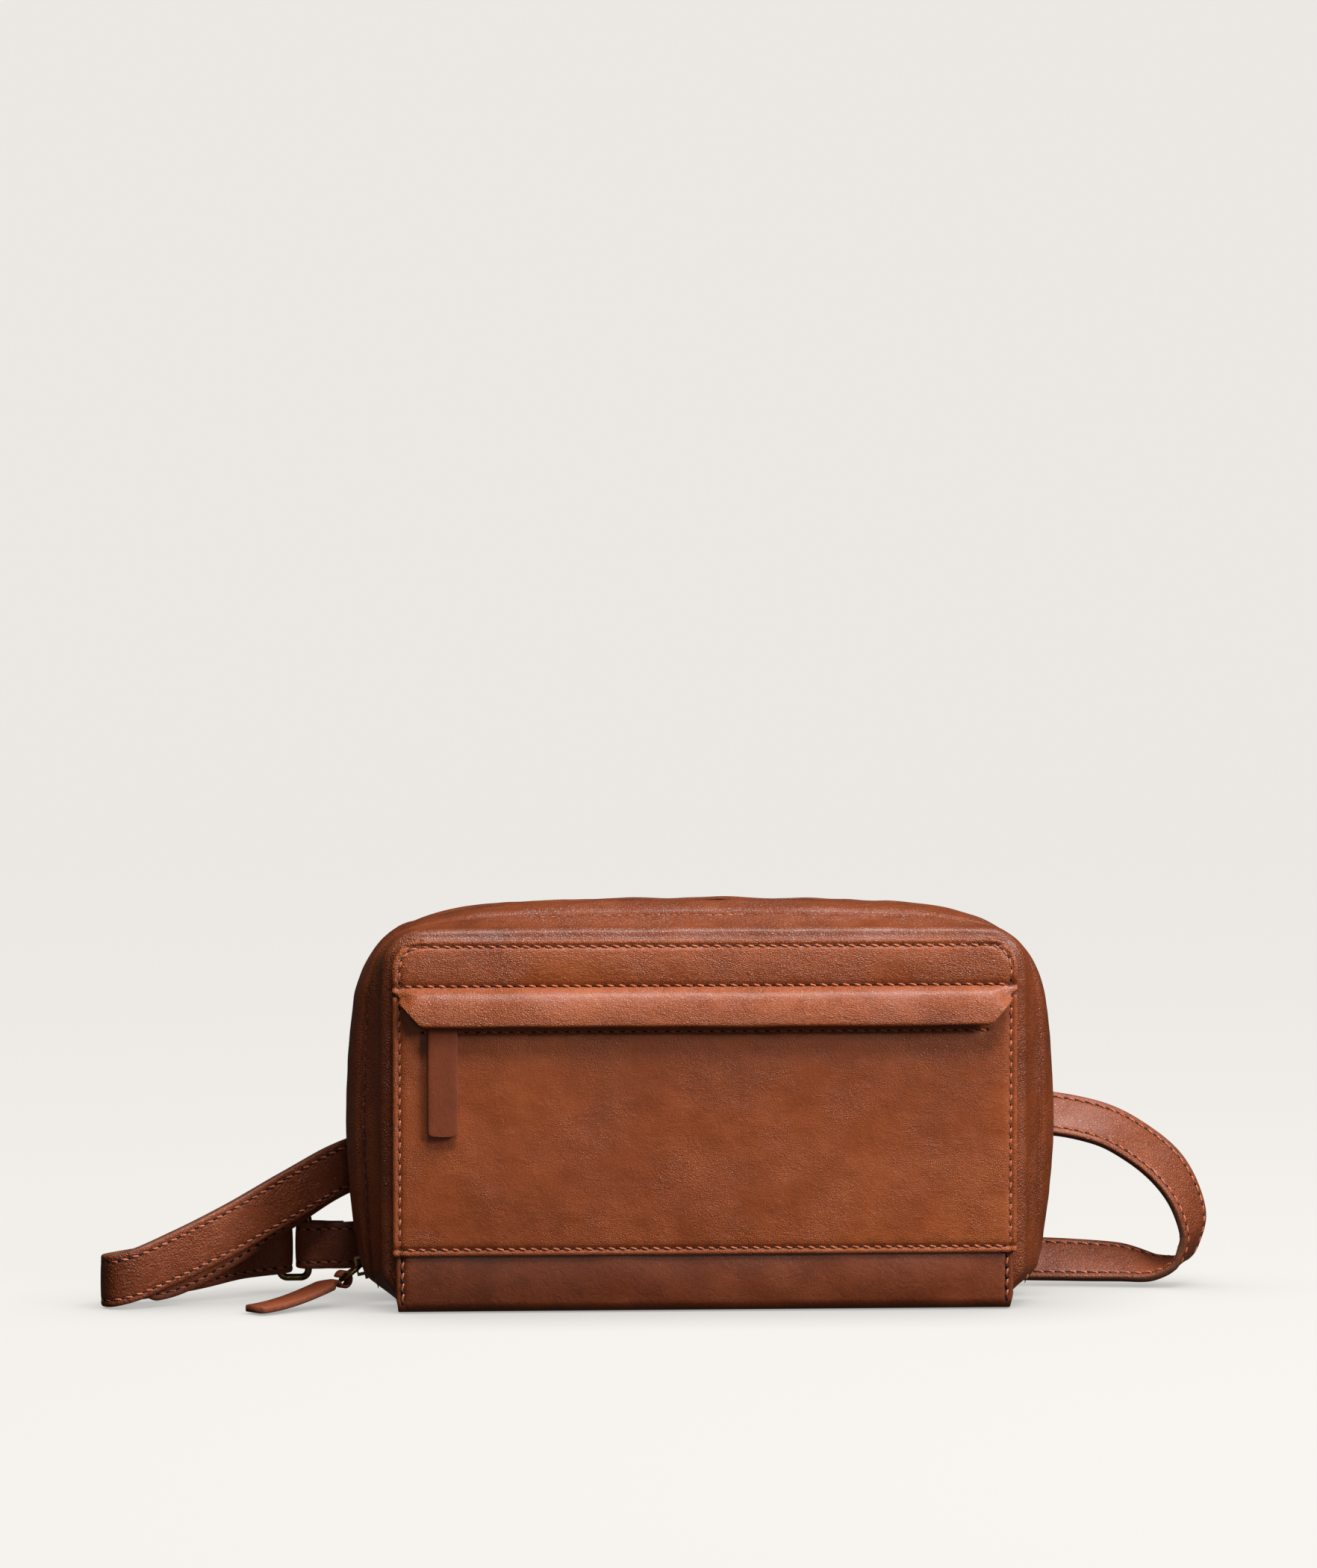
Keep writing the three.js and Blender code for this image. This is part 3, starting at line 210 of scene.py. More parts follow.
def soft_box(name, place, target, size, power, tint=(1, 1, 1)):
    light = bpy.data.lights.new(name, "AREA")
    light.shape = "RECTANGLE"
    light.size, light.size_y = size
    light.energy = power
    light.color = tint
    box = bpy.data.objects.new(name, light)
    box.location = place
    box.rotation_euler = (Vector(target) - Vector(place)).to_track_quat("-Z", "Y").to_euler()
    scene.collection.objects.link(box)
    return box


PACK_MIDDLE = (0, 0, 0.07)
soft_box("key_box", (1.15, -1.0, 0.85), PACK_MIDDLE, (0.5, 0.5), 20, (1, 0.97, 0.92))
soft_box("top_box", (0.25, -0.42, 1.15), PACK_MIDDLE, (0.9, 0.2), 21)
soft_box("fill_box", (0.1, -2.2, 0.35), PACK_MIDDLE, (0.8, 0.8), 2.6, (1, 0.98, 0.95))

world = bpy.data.worlds.new("studio")
world.use_nodes = True
world.node_tree.nodes["Background"].inputs["Color"].default_value = (1, 0.96, 0.9, 1)
world.node_tree.nodes["Background"].inputs["Strength"].default_value = 0.05
scene.world = world

# ---------------------------------------------------------------- gusset
# A strip of soft leather runs up one side, over the top and down the other, in a front and a back half.
# Its outer edge is turned and sewn behind the panel, where it rolls up into a lip, and a lapped seam runs
# along its middle. The inner edge is sewn to the zip tape.


def packed_box(node):
    """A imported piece's lowest and highest corners, in millimetres."""
    return [Vector(corner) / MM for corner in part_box(node)]


PANEL_BOX = packed_box("back_panel")
PANEL_HALF = PANEL_BOX[1].x
PANEL_TOP = PANEL_BOX[1].z
PANEL_CORNER = 10
HALF_DEPTH = PANEL_BOX[1].y
LEATHER = 1.6
GUSSET_BOX = packed_box("back_gusset")
GUSSET_HALF = GUSSET_BOX[1].x
GUSSET_TOP = GUSSET_BOX[1].z
GUSSET_FOOT = GUSSET_BOX[0].z
ZIP_CHANNEL = GUSSET_BOX[0].y
SIDE_RADIUS = 260
SIDE_LOW = 10
SIDE_MIDDLE = 66
SIDE_HIGH = PANEL_TOP - 23
CORNER_END = PANEL_HALF - 33.5
SEAM_DEPTH = 15.5
SEAM_SINK = 0.75
FOOT_DRAW = 6
FOOT_RISE = 11
GUSSET_PROFILE = np.array([
    # from the zip's plane, share of the way out, proud
    (HALF_DEPTH - 1.6, 0, -1.0),
    (HALF_DEPTH - 2.7, 0.01, 0.5),
    (HALF_DEPTH - 4.2, 0.05, 2.7),
    (HALF_DEPTH - 6.4, 0.12, 2.6),
    (HALF_DEPTH - 10, 0.3, 2.1),
    (HALF_DEPTH - 16, 0.62, 1.6),
    (HALF_DEPTH - 21, 0.86, 1.1),
    (ZIP_CHANNEL, 1, 0),
])


def step_up(t):
    t = min(max(t, 0), 1)
    return t * t * (3 - 2 * t)


def side_x(z):
    return GUSSET_HALF - SIDE_RADIUS + math.sqrt(SIDE_RADIUS**2 - (z - SIDE_MIDDLE) ** 2)


def bezier(controls, t):
    points = [np.array(c, float) for c in controls]
    while len(points) > 1:
        points = [a * (1 - t) + b * t for a, b in zip(points, points[1:])]
    return points[0]


def outlines(lower=4, side=44, corner=40, top=34):
    """The panel's outline and the zip's, point for point, from lower right over the top to lower left."""
    panel, middle = [], []
    for i in range(lower + 1):
        t = i / lower
        panel.append((PANEL_HALF, GUSSET_FOOT + (SIDE_LOW - GUSSET_FOOT) * t))
        middle.append(bezier([
            (PANEL_HALF + 2, GUSSET_FOOT), (PANEL_HALF + 6, 5), (side_x(SIDE_LOW), SIDE_LOW)], t))
    angles = [math.asin((z - SIDE_MIDDLE) / SIDE_RADIUS) for z in (SIDE_LOW, SIDE_HIGH)]
    for i in range(1, side + 1):
        t = i / side
        angle = angles[0] + (angles[1] - angles[0]) * t
        panel.append((PANEL_HALF, SIDE_LOW + (SIDE_HIGH - SIDE_LOW) * t))
        inward = SIDE_RADIUS * (1 - math.cos(angle))
        middle.append((GUSSET_HALF - inward, SIDE_MIDDLE + SIDE_RADIUS * math.sin(angle)))
    x, z = middle[-1]
    reach = 18
    lean = math.tan(angles[1])
    upright = PANEL_TOP - PANEL_CORNER - SIDE_HIGH
    bend = PANEL_CORNER * math.pi / 2
    level = PANEL_HALF - PANEL_CORNER - CORNER_END
    for i in range(1, corner + 1):
        t = i / corner
        run = t * (upright + bend + level)
        if run < upright:
            panel.append((PANEL_HALF, SIDE_HIGH + run))
        elif run < upright + bend:
            turn = (run - upright) / PANEL_CORNER
            panel.append((
                PANEL_HALF - PANEL_CORNER * (1 - math.cos(turn)),
                PANEL_TOP - PANEL_CORNER * (1 - math.sin(turn))))
        else:
            panel.append((PANEL_HALF - PANEL_CORNER - (run - upright - bend), PANEL_TOP))
        middle.append(bezier([
            (x, z), (x - lean * reach, z + reach),
            (CORNER_END + 27, GUSSET_TOP - 4.7), (CORNER_END, GUSSET_TOP - 2.2)], t))
    for i in range(1, top + 1):
        t = i / top
        panel.append((CORNER_END * (1 - t), PANEL_TOP))
        middle.append(bezier([
            (CORNER_END, GUSSET_TOP - 2.2), (CORNER_END - 21, GUSSET_TOP - 0.4),
            (25, GUSSET_TOP), (0, GUSSET_TOP)], t))
    both = []
    for line in (np.array(panel), np.array(middle)):
        mirrored = line[:-1][::-1] * (-1, 1)
        both.append(np.vstack([line, mirrored]))
    return both


PANEL_LINE, ZIP_LINE = outlines()


def outward(line):
    """Unit normals of an outline that runs anticlockwise."""
    along = np.gradient(line, axis=0)
    out = np.stack([along[:, 1], -along[:, 0]], axis=1)
    return out / np.linalg.norm(out, axis=1)[:, None]


def through(stops, t):
    """A smooth curve through rows of numbers, with t from 0 to the last row's index."""
    i = min(int(t), len(stops) - 2)
    u = t - i
    a = stops[max(i - 1, 0)]
    b, c = stops[i], stops[i + 1]
    d = stops[min(i + 2, len(stops) - 1)]
    square, cube = 2 * a - 5 * b + 4 * c - d, 3 * b - a - 3 * c + d
    return 0.5 * (2 * b + (c - a) * u + square * u * u + cube * u**3)


def gusset_row(depth, inset=0):
    """The gusset's line, in X and Z, at a distance from the zip's plane."""
    steps = np.linspace(0, len(GUSSET_PROFILE) - 1, 141)
    rows = np.array([through(GUSSET_PROFILE, t) for t in steps])
    share = np.interp(-depth, -rows[:, 0], rows[:, 1])
    proud = np.interp(-depth, -rows[:, 0], rows[:, 2])
    proud -= SEAM_SINK * math.exp(-(((depth - SEAM_DEPTH) / 0.9) ** 2))
    line = PANEL_LINE * (1 - share) + ZIP_LINE * share
    line = line + outward(line) * (proud - inset)
    line[:, 1] = np.maximum(line[:, 1], GUSSET_FOOT)
    return line


def ripple(x, y, z, size, seed=0):
    """A soft uneven swell from -1 to 1, with swells of about that size."""
    return noise.noise(Vector((x / size + seed, y / size - seed, z / size + 0.37 * seed)))


def leather_edge(name, tone):
    """The cut or painted edge of a strip of leather."""
    edge = Finish(name, Specular_IOR_Level=0.35)
    fibres = edge.cloud(edge.place(), 900, Detail=6)
    shadow = tuple(c * 0.55 for c in linear(*tone)[:3]) + (1,)
    return edge.done(
        Base_Color=edge.ramp(fibres, (0.3, shadow), (0.7, linear(*tone))),
        Roughness=edge.spread(fibres, 0.5, 0.75), Normal=edge.bump(fibres, 0.12, 0.5))


def leather(name, deep, body, pale, grain=0.9, pebble=0.5, crease=0.4, gloss=0.42, coat=0.12,
            stretch=(1, 1, 1)):
    """Waxed full-grain leather: cloudy dye, pores of a given size in mm with painted shade in them, pebbling
    and fine creases.
    """
    hide = Finish(name, Specular_IOR_Level=0.4, Coat_Weight=coat, Coat_Roughness=0.3)
    place = hide.place()
    turned = hide.add("Mapping", {"Vector": place, "Scale": stretch})

    def cloud(size, detail, rough=0.55, warp=0.0, vector=place):
        return hide.cloud(vector, 1 / (size * MM), Detail=detail, Roughness=rough, Distortion=warp)

    broad = cloud(62, 3, 0.6, 0.4)
    blotch = cloud(11, 5, 0.6)
    speck = cloud(1.3, 4, 0.7)
    # pores: the gaps between small rounded cells, broken up by a finer cloud
    wobble = hide.cloud(turned, 1 / (2.2 * grain * MM), "Color", Detail=3)
    small = hide.add("VectorMath", {0: wobble, "Scale": 1.1 * grain * MM}, operation="SCALE")
    bent = hide.add("MixRGB", {"Fac": 1, "Color1": turned, "Color2": small}, blend_type="ADD")
    cells = hide.add(
        "TexVoronoi", {"Vector": bent, "Scale": 1 / (grain * MM), "Randomness": 0.95}, "Distance",
        feature="DISTANCE_TO_EDGE")
    pores = hide.spread(cells, 0, 1, 0, 0.3)
    patch = hide.spread(cloud(24, 2), 0.35, 1, 0.35, 0.65)
    folds = hide.spread(cloud(4.2, 4, 0.6, 1.6, turned), 0, 1, 0.36, 0.64)

    tone = hide.sum(hide.sum(broad, 0.5, "MULTIPLY"), hide.sum(blotch, 0.32, "MULTIPLY"))
    tone = hide.sum(tone, hide.sum(speck, 0.18, "MULTIPLY"))
    dye = hide.ramp(tone, (0.38, linear(*deep)), (0.51, linear(*body)), (0.64, linear(*pale)))
    # painted shade: the dye is darkened in the pores, the hollows between the grain's cells
    colour = hide.add("MixRGB", {
        "Fac": hide.spread(pores, 0.34, 0), "Color1": dye, "Color2": (0.42, 0.36, 0.34, 1)},
        blend_type="MULTIPLY")
    rough = hide.sum(hide.spread(blotch, gloss - 0.05, gloss + 0.08, 0.3, 0.7), hide.spread(pores, 0.1, 0))
    creased = hide.bump(folds, 0.35, crease)
    pebbled = hide.bump(hide.sum(pores, patch, "MULTIPLY"), 0.24 * grain, pebble, creased)
    return hide.done(Base_Color=colour, Roughness=rough, Normal=hide.bump(speck, 0.06, 0.25, pebbled))


def finish_piece(piece, body, slot, materials, *nodes):
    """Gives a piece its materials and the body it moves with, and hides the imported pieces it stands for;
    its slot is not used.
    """
    for material in materials:
        piece.data.materials.append(material)
    if body:
        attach(piece, body)
    if nodes:
        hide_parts(*nodes)


def round_off(piece, width, angle=50):
    """Takes the sharpness off edges that turn by more than an angle in degrees."""
    soft = piece.modifiers.new("rounding", "BEVEL")
    soft.width = width * MM
    soft.segments = 2
    soft.limit_method = "ANGLE"
    soft.angle_limit = math.radians(angle)


def thicken(piece, thickness, rim=None, rounding=0.3):
    """Gives a sheet of leather its thickness behind the modelled face, and softens its edges."""
    solid = piece.modifiers.new("thickness", "SOLIDIFY")
    solid.thickness = thickness * MM
    solid.offset = -1
    solid.use_even_offset = True
    solid.thickness_clamp = 1
    if rim:
        piece.data.materials.append(rim)
        solid.material_offset_rim = 1
    if rounding:
        round_off(piece, rounding)


THREAD_PITCH = 3.8
THREAD_RADIUS = 0.37
THREAD_SLANT = 0.3
HOLE_LENGTH = 0.85
HOLE_WIDTH = 0.5

waxed = Finish("waxed_thread", Roughness=0.55, Sheen_Weight=0.25)
twist = waxed.cloud(waxed.place(), 1600)
thread = waxed.done(
    Base_Color=waxed.ramp(twist, (0.35, linear(136, 62, 32)), (0.65, linear(206, 116, 70))),
    Normal=waxed.bump(twist, 0.1))
# painted shade: each needle hole is a dark disc on the leather, coloured for the shade inside the hole
painted_hole_shade = leather_edge("painted_hole_shade", (38, 14, 8))


def along_line(line, spacing):
    """Even points along a line, about that far apart, and the row positions that they come from."""
    line = np.asarray(line, float)
    run = np.concatenate([[0], np.cumsum(np.linalg.norm(np.diff(line, axis=0), axis=1))])
    count = max(int(round(run[-1] / spacing)), 1)
    marks = np.linspace(0, run[-1], count + 1)
    where = np.interp(marks, run, np.arange(len(line)))
    return where, np.stack([np.interp(marks, run, line[:, k]) for k in range(3)], axis=1)


def stitches(name, rows, body, spread=THREAD_PITCH):
    """Thread along rows of (points, surface normals), with dark discs of painted shade for the needle holes.
    """
    points, faces, marks = [], [], []
    rings, sides, hole_sides = 6, 6, 8
    for line, normals in rows:
        where, holes = along_line(line, spread)
        normals = np.asarray(normals, float)
        marks_along = np.arange(len(normals))
        facing = np.stack([np.interp(where, marks_along, normals[:, k]) for k in range(3)], axis=1)
        facing /= np.linalg.norm(facing, axis=1)[:, None]
        for k in range(len(holes)):
            n = facing[k]
            ahead = holes[min(k + 1, len(holes) - 1)] - holes[max(k - 1, 0)]
            ahead /= np.linalg.norm(ahead)
            beside = np.cross(n, ahead)
            start = len(points)
            # the needle hole is a flat lens lying on the leather, dark with painted shade rather than cut
            points.append(holes[k] + n * 0.14)
            for m in range(hole_sides):
                turn = m / hole_sides * 2 * math.pi
                rim = ahead * HOLE_LENGTH * math.cos(turn) + beside * HOLE_WIDTH * math.sin(turn)
                points.append(holes[k] + rim + n * 0.02)
            points.append(holes[k] - n * 0.3)
            for m in range(hole_sides):
                a, b = start + 1 + m, start + 1 + (m + 1) % hole_sides
                faces += [(start, a, b), (start + 1 + hole_sides, b, a)]
                marks += [1, 1]
        for k in range(len(holes) - 1):
            a, b = holes[k], holes[k + 1]
            n = (facing[k] + facing[k + 1]) / 2
            ahead = (b - a) / np.linalg.norm(b - a)
            beside = np.cross(n, ahead)
            start = len(points)
            for i in range(rings):
                t = i / (rings - 1)
                rise = math.sin(math.pi * (0.06 + 0.88 * t))
                middle = a + (b - a) * (0.17 + 0.66 * t) + beside * THREAD_SLANT * (1 - 2 * t)
                middle = middle + n * (-0.3 + 0.52 * rise**0.6)
                radius = THREAD_RADIUS * (0.72 + 0.28 * rise)
                for m in range(sides):
                    turn = m / sides * 2 * math.pi
                    points.append(middle + radius * (beside * math.cos(turn) + n * math.sin(turn)))
            for i in range(rings - 1):
                for m in range(sides):
                    p, q = start + i * sides + m, start + i * sides + (m + 1) % sides
                    faces.append((p, q, q + sides, p + sides))
            faces.append(tuple(start + m for m in range(sides))[::-1])
            faces.append(tuple(start + (rings - 1) * sides + m for m in range(sides)))
            marks += [0] * ((rings - 1) * sides + 2)
    piece = mesh_piece(name, points, faces)
    piece.data.materials.append(thread)
    piece.data.materials.append(painted_hole_shade)
    piece.data.polygons.foreach_set("material_index", marks)
    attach(piece, body)
    return piece


gusset_leather = leather(
    "gusset_leather", (106, 48, 20), (124, 58, 25), (140, 70, 33), grain=0.9, pebble=0.9, crease=0.3,
    gloss=0.34, coat=0.2)
gusset_edge = leather_edge("gusset_edge", (120, 62, 40))
GUSSET_STEPS = 40
FLANGE = 5
BACK_TUCK = HALF_DEPTH - LEATHER - 0.25
FRONT_TUCK = HALF_DEPTH - 0.15
BAND_TUCK = HALF_DEPTH - 2.25
TUCK_FROM = 23


def foot_draw(x, z):
    """The foot is drawn in where the band and the base hold it."""
    return FOOT_DRAW * (1 - step_up((z - GUSSET_FOOT) / FOOT_RISE)) * (1 if x > 0 else -1)


def gusset_half(side, name, node, body):
    depths = []
    for i in range(GUSSET_STEPS + 1):
        depths.append(through(GUSSET_PROFILE, i / GUSSET_STEPS * (len(GUSSET_PROFILE) - 1))[0])
    depths += [SEAM_DEPTH - 1.2, SEAM_DEPTH - 0.5, SEAM_DEPTH, SEAM_DEPTH + 0.5, SEAM_DEPTH + 1.2]
    depths = sorted(set(round(d, 3) for d in depths), reverse=True)
    points = []
    # the turned flange lies flat behind the panel's edge
    first = gusset_row(depths[0])
    first_out = outward(first)
    tuck = BACK_TUCK if side > 0 else FRONT_TUCK
    for drawn_in in (FLANGE, FLANGE * 0.5, 1.2, 0.3):
        for (x, z), (nx, nz) in zip(first, first_out):
            depth = tuck if side > 0 or z > TUCK_FROM else BAND_TUCK
            low = max(z - nz * drawn_in, GUSSET_FOOT)
            points.append((x - nx * drawn_in - foot_draw(x, z), side * depth, low))
    for depth in depths:
        line = gusset_row(depth)
        out = outward(line)
        calm = min(1, max(HALF_DEPTH - 2 - depth, 0) / 5) * min(1, abs(depth - SEAM_DEPTH) / 3)
        for (x, z), (nx, nz) in zip(line, out):
            swell = 0.45 * ripple(x, depth * 2.5, z, 16, side) + 0.2 * ripple(x, depth * 2, z, 6, 3 + side)
            swell *= calm
            points.append((x + nx * swell - foot_draw(x, z), side * depth, max(z + nz * swell, GUSSET_FOOT)))
    columns = len(PANEL_LINE)
    piece = mesh_piece(name, points, grid_faces(len(depths) + 4, columns, flip=side > 0))
    finish_piece(piece, body, "dark_leather", [gusset_leather], node)
    thicken(piece, LEATHER - 0.1, gusset_edge, 0.25)
    line = gusset_row(SEAM_DEPTH)
    out = outward(line)
    keep = slice(3, len(line) - 3)
    rail = np.stack([line[:, 0], np.full(len(line), side * SEAM_DEPTH), line[:, 1]], axis=1)[keep]
    facing = np.stack([out[:, 0], np.full(len(line), side * 0.35), out[:, 1]], axis=1)[keep]
    stitches(name + "_stitches", [(rail, facing)], body)


gusset_half(1, "gusset_back", "back_gusset", "pack_back")
gusset_half(-1, "gusset_front", "front_gusset", "front_cover")

# ---------------------------------------------------------------- main zip
# Two woven tapes are sewn behind the gusset's inner edges, and each carries a row of cast brass teeth.
# The rows mesh along the middle of the gusset. The front row stops above the parked slider.
TOOTH_PITCH = 2.2
TOOTH_LENGTH = 1.05
TOOTH_INSET = 1.2
TOOTH_HEIGHT = 1.8
# a tooth's reach from the middle, and its share of the length and of the height there
TOOTH_SHAPE = ((2.6, 0.62, 0.5), (1.5, 0.62, 0.5), (0.7, 0.42, 0.36), (-0.45, 0.5, 0.36))
TAPE_INSET = 2.1
TAPE = 0.6


def woven(name, dark, light, thread_size=0.32):
    """Close woven cloth or tape, with a crossing rise and fall of its threads."""
    cloth = Finish(name, Specular_IOR_Level=0.2, Sheen_Weight=0.35, Sheen_Roughness=0.5)
    place = cloth.place()
    waves = []
    for axis in ("X", "Y", "Z"):
        waves.append(cloth.add("TexWave", {
            "Vector": place, "Scale": 0.32 / (thread_size * MM), "Distortion": 0.4, "Detail": 1},
            "Fac", bands_direction=axis))
    height = cloth.sum(cloth.sum(waves[0], waves[1]), waves[2])
    slub = cloth.cloud(place, 140, Detail=5)
    mixed = cloth.add("Math", {0: height, 1: 0.18, 2: slub}, operation="MULTIPLY_ADD")
    return cloth.done(
        Base_Color=cloth.ramp(mixed, (0.45, linear(*dark)), (1, linear(*light))),
        Roughness=cloth.spread(slub, 0.7, 0.92), Normal=cloth.bump(height, 0.1, 0.7))


def aged_brass(name, bright, dull, polish=0.3):
    """Antique brass: brown patina, rubbed bright in patches."""
    metal = Finish(name, Metallic=1)
    patina = metal.cloud(metal.place(), 260, Detail=6, Roughness=0.65)
    return metal.done(
        Base_Color=metal.ramp(patina, (0.36, linear(*dull)), (0.66, linear(*bright))),
        Roughness=metal.spread(patina, polish + 0.2, polish, 0.35, 0.65),
        Normal=metal.bump(patina, 0.05, 0.25))


tape_cloth = woven("zip_tape_cloth", (44, 26, 18), (86, 56, 42))
brass = aged_brass("antique_brass", (150, 122, 74), (74, 58, 34))
teeth_brass = aged_brass("teeth_brass", (164, 132, 80), (84, 64, 38), 0.28)


def face_out(piece):
    """Turns every face of a closed mesh to the outside."""
    edit = bmesh.new()
    edit.from_mesh(piece.data)
    bmesh.ops.recalc_face_normals(edit, faces=edit.faces)
    edit.to_mesh(piece.data)
    edit.free()


def tooth_row(name, line, facing, across, node, body, phase):
    """Cast teeth along a line: each has a wide foot clamped on the tape and a head past the middle."""
    where, spots = along_line(line, TOOTH_PITCH / 2)
    facing = np.asarray(facing, float)
    points, faces = [], []
    for k in range(phase, len(spots) - 1, 2):
        i = int(round(where[k]))
        n = facing[min(i, len(facing) - 1)]
        ahead = spots[min(k + 1, len(spots) - 1)] - spots[max(k - 1, 0)]
        ahead = ahead / np.linalg.norm(ahead)
        side = np.asarray(across, float)
        start = len(points)
        for reach, half, tall in TOOTH_SHAPE:
            for a, b in ((-1, -1), (1, -1), (1, 1), (-1, 1)):
                corner = ahead * a * half * TOOTH_LENGTH + n * b * tall * TOOTH_HEIGHT
                points.append(spots[k] + side * reach + corner)
        for r in range(3):
            for m in range(4):
                p, q = start + 4 * r + m, start + 4 * r + (m + 1) % 4
                faces.append((p, q, q + 4, p + 4))
        faces += [tuple(start + m for m in (3, 2, 1, 0)), tuple(start + m for m in (12, 13, 14, 15))]
    piece = mesh_piece(name, points, faces, smooth=False)
    face_out(piece)
    soft = piece.modifiers.new("rounding", "BEVEL")
    soft.width = 0.12 * MM
    soft.segments = 1
    finish_piece(piece, body, "zip_teeth", [teeth_brass], node)


def zip_side(side, word, body, first, last, phase):
    depths = (0.95, 2.0, 3.2, 4.6, 6.4, 8.6, 10.9)
    points = []
    for depth in depths:
        line = gusset_row(max(depth, ZIP_CHANNEL), TAPE_INSET)[first:last]
        points += [(x, side * depth, z) for x, z in line]
    tape = mesh_piece(f"zip_tape_{word}", points, grid_faces(len(depths), last - first, flip=side < 0))
    finish_piece(tape, body, "zip_tape", [tape_cloth], f"main_zip_tape_{word}")
    thicken(tape, TAPE, rounding=0)
    line = gusset_row(ZIP_CHANNEL, TOOTH_INSET + TOOTH_HEIGHT / 2)[first:last]
    out = outward(line)
    rail = np.stack([line[:, 0], np.zeros(len(line)), line[:, 1]], axis=1)
    facing = np.stack([out[:, 0], np.zeros(len(line)), out[:, 1]], axis=1)
    tooth_row(f"zip_teeth_{word}", rail, facing, (0, side, 0), f"main_zip_teeth_{word}", body, phase)


whole = len(PANEL_LINE)
FRONT_STOP = int(np.argmax(ZIP_LINE[whole // 2:, 1] < 21)) + whole // 2
zip_side(1, "back", "pack_back", 4, whole - 4, 0)
zip_side(-1, "front", "front_cover", 4, FRONT_STOP, 1)

# ---------------------------------------------------------------- pocket panel
# The front of the pocket is one cut piece of leather, sewn down both sides, along the zip and over the
# bottom band. Worn leather swells a little between its seams and sinks under the thread.
POCKET_BOX = packed_box("pocket_panel")
FRONT_FACE = POCKET_BOX[0].y
SEAM_IN = 2.3
POCKET_TOP = PANEL_TOP - 28.7
EAR = 9
EAR_TOP = PANEL_TOP - 19.4
ZIP_SEAM = POCKET_TOP - 2.6
BAND_SEAM = POCKET_BOX[0].z + 2.2
front_leather = leather(
    "front_leather", (134, 62, 22), (152, 72, 27), (166, 84, 34), grain=0.7, pebble=0.7, crease=0.2,
    gloss=0.4)
raw_edge = leather_edge("raw_edge", (176, 98, 60))


def dip(distance, depth=0.6, width=0.85):
    return depth * math.exp(-((distance / width) ** 2))


def spaced(low, high, step, *marks):
    """Even values from low to high, with closer ones round each mark."""
    values = list(np.linspace(low, high, max(int(round((high - low) / step)), 1) + 1))
    for mark in marks:
        values += [mark + d for d in (-1.5, -0.9, -0.45, 0, 0.45, 0.9, 1.5) if low < mark + d < high]
    values = sorted(values)
    kept = values[:1]
    for value in values[1:]:
        if value - kept[-1] > 0.28:
            kept.append(value)
    kept[-1] = high
    return kept


def edge_fall(x, half):
    """How far the face falls back close to a cut edge, at x where the edge is at half."""
    gap = max(half - abs(x), 0)
    return 0.5 * math.exp(-gap / 0.7)


def pocket_relief(x, z):
    low, high = POCKET_BOX[0].z, POCKET_TOP
    side = PANEL_HALF - SEAM_IN
    room = min(1, max(side - abs(x), 0) / 14)
    room *= min(1, max(z - BAND_SEAM, 0) / 12) * min(1, max(ZIP_SEAM - z, 0) / 12)
    swell = 0.3 * room
    swell += room * (0.3 * ripple(x, 0, z, 34, 5) + 0.15 * ripple(x, 0, z, 13, 9))
    swell += 0.12 * ripple(x, 0, z, 5, 2)
    swell -= dip(abs(x) - side) + dip(z - BAND_SEAM)
    swell -= dip(z - ZIP_SEAM) * step_up((PANEL_HALF - EAR - abs(x)) / 2)
    swell -= edge_fall(x, PANEL_HALF) + 0.35 * math.exp(-(z - low) / 0.6)
    if abs(x) < PANEL_HALF - EAR:
        swell -= 0.35 * math.exp(-max(high - z, 0) / 0.6)
    return swell


pocket_x = spaced(-PANEL_HALF, PANEL_HALF, 1.3, PANEL_HALF - SEAM_IN, SEAM_IN - PANEL_HALF)
pocket_z = spaced(POCKET_BOX[0].z, POCKET_TOP, 1.3, ZIP_SEAM, BAND_SEAM)
ear_z = list(np.linspace(POCKET_TOP, EAR_TOP, 9))[1:]
pocket_points = [(x, FRONT_FACE - pocket_relief(x, z), z) for z in pocket_z + ear_z for x in pocket_x]
pocket_faces = []
for face in grid_faces(len(pocket_z + ear_z), len(pocket_x)):
    row, column = face[0] // len(pocket_x), face[0] % len(pocket_x)
    if row < len(pocket_z) - 1 or abs(pocket_x[column] + pocket_x[column + 1]) / 2 > PANEL_HALF - EAR:
        pocket_faces.append(face)
pocket = mesh_piece("pocket_front", pocket_points, pocket_faces)
loose = bmesh.new()
loose.from_mesh(pocket.data)
bmesh.ops.delete(loose, geom=[v for v in loose.verts if not v.link_faces], context="VERTS")
loose.to_mesh(pocket.data)
loose.free()
finish_piece(pocket, "front_cover", "tan_leather", [front_leather], "pocket_panel")
thicken(pocket, LEATHER - 0.35, raw_edge, 0.25)


def face_row(stops, relief, out=(0, -1, 0), step=1.2):
    """A stitch row on an upright face, from stops in X and Z."""
    line = []
    for (x0, z0), (x1, z1) in zip(stops, stops[1:]):
        count = max(int(math.hypot(x1 - x0, z1 - z0) / step), 1)
        for i in range(count + (1 if (x1, z1) == stops[-1] else 0)):
            t = i / count
            x, z = x0 + (x1 - x0) * t, z0 + (z1 - z0) * t
            line.append((x, FRONT_FACE - relief(x, z), z))
    return line, [out] * len(line)


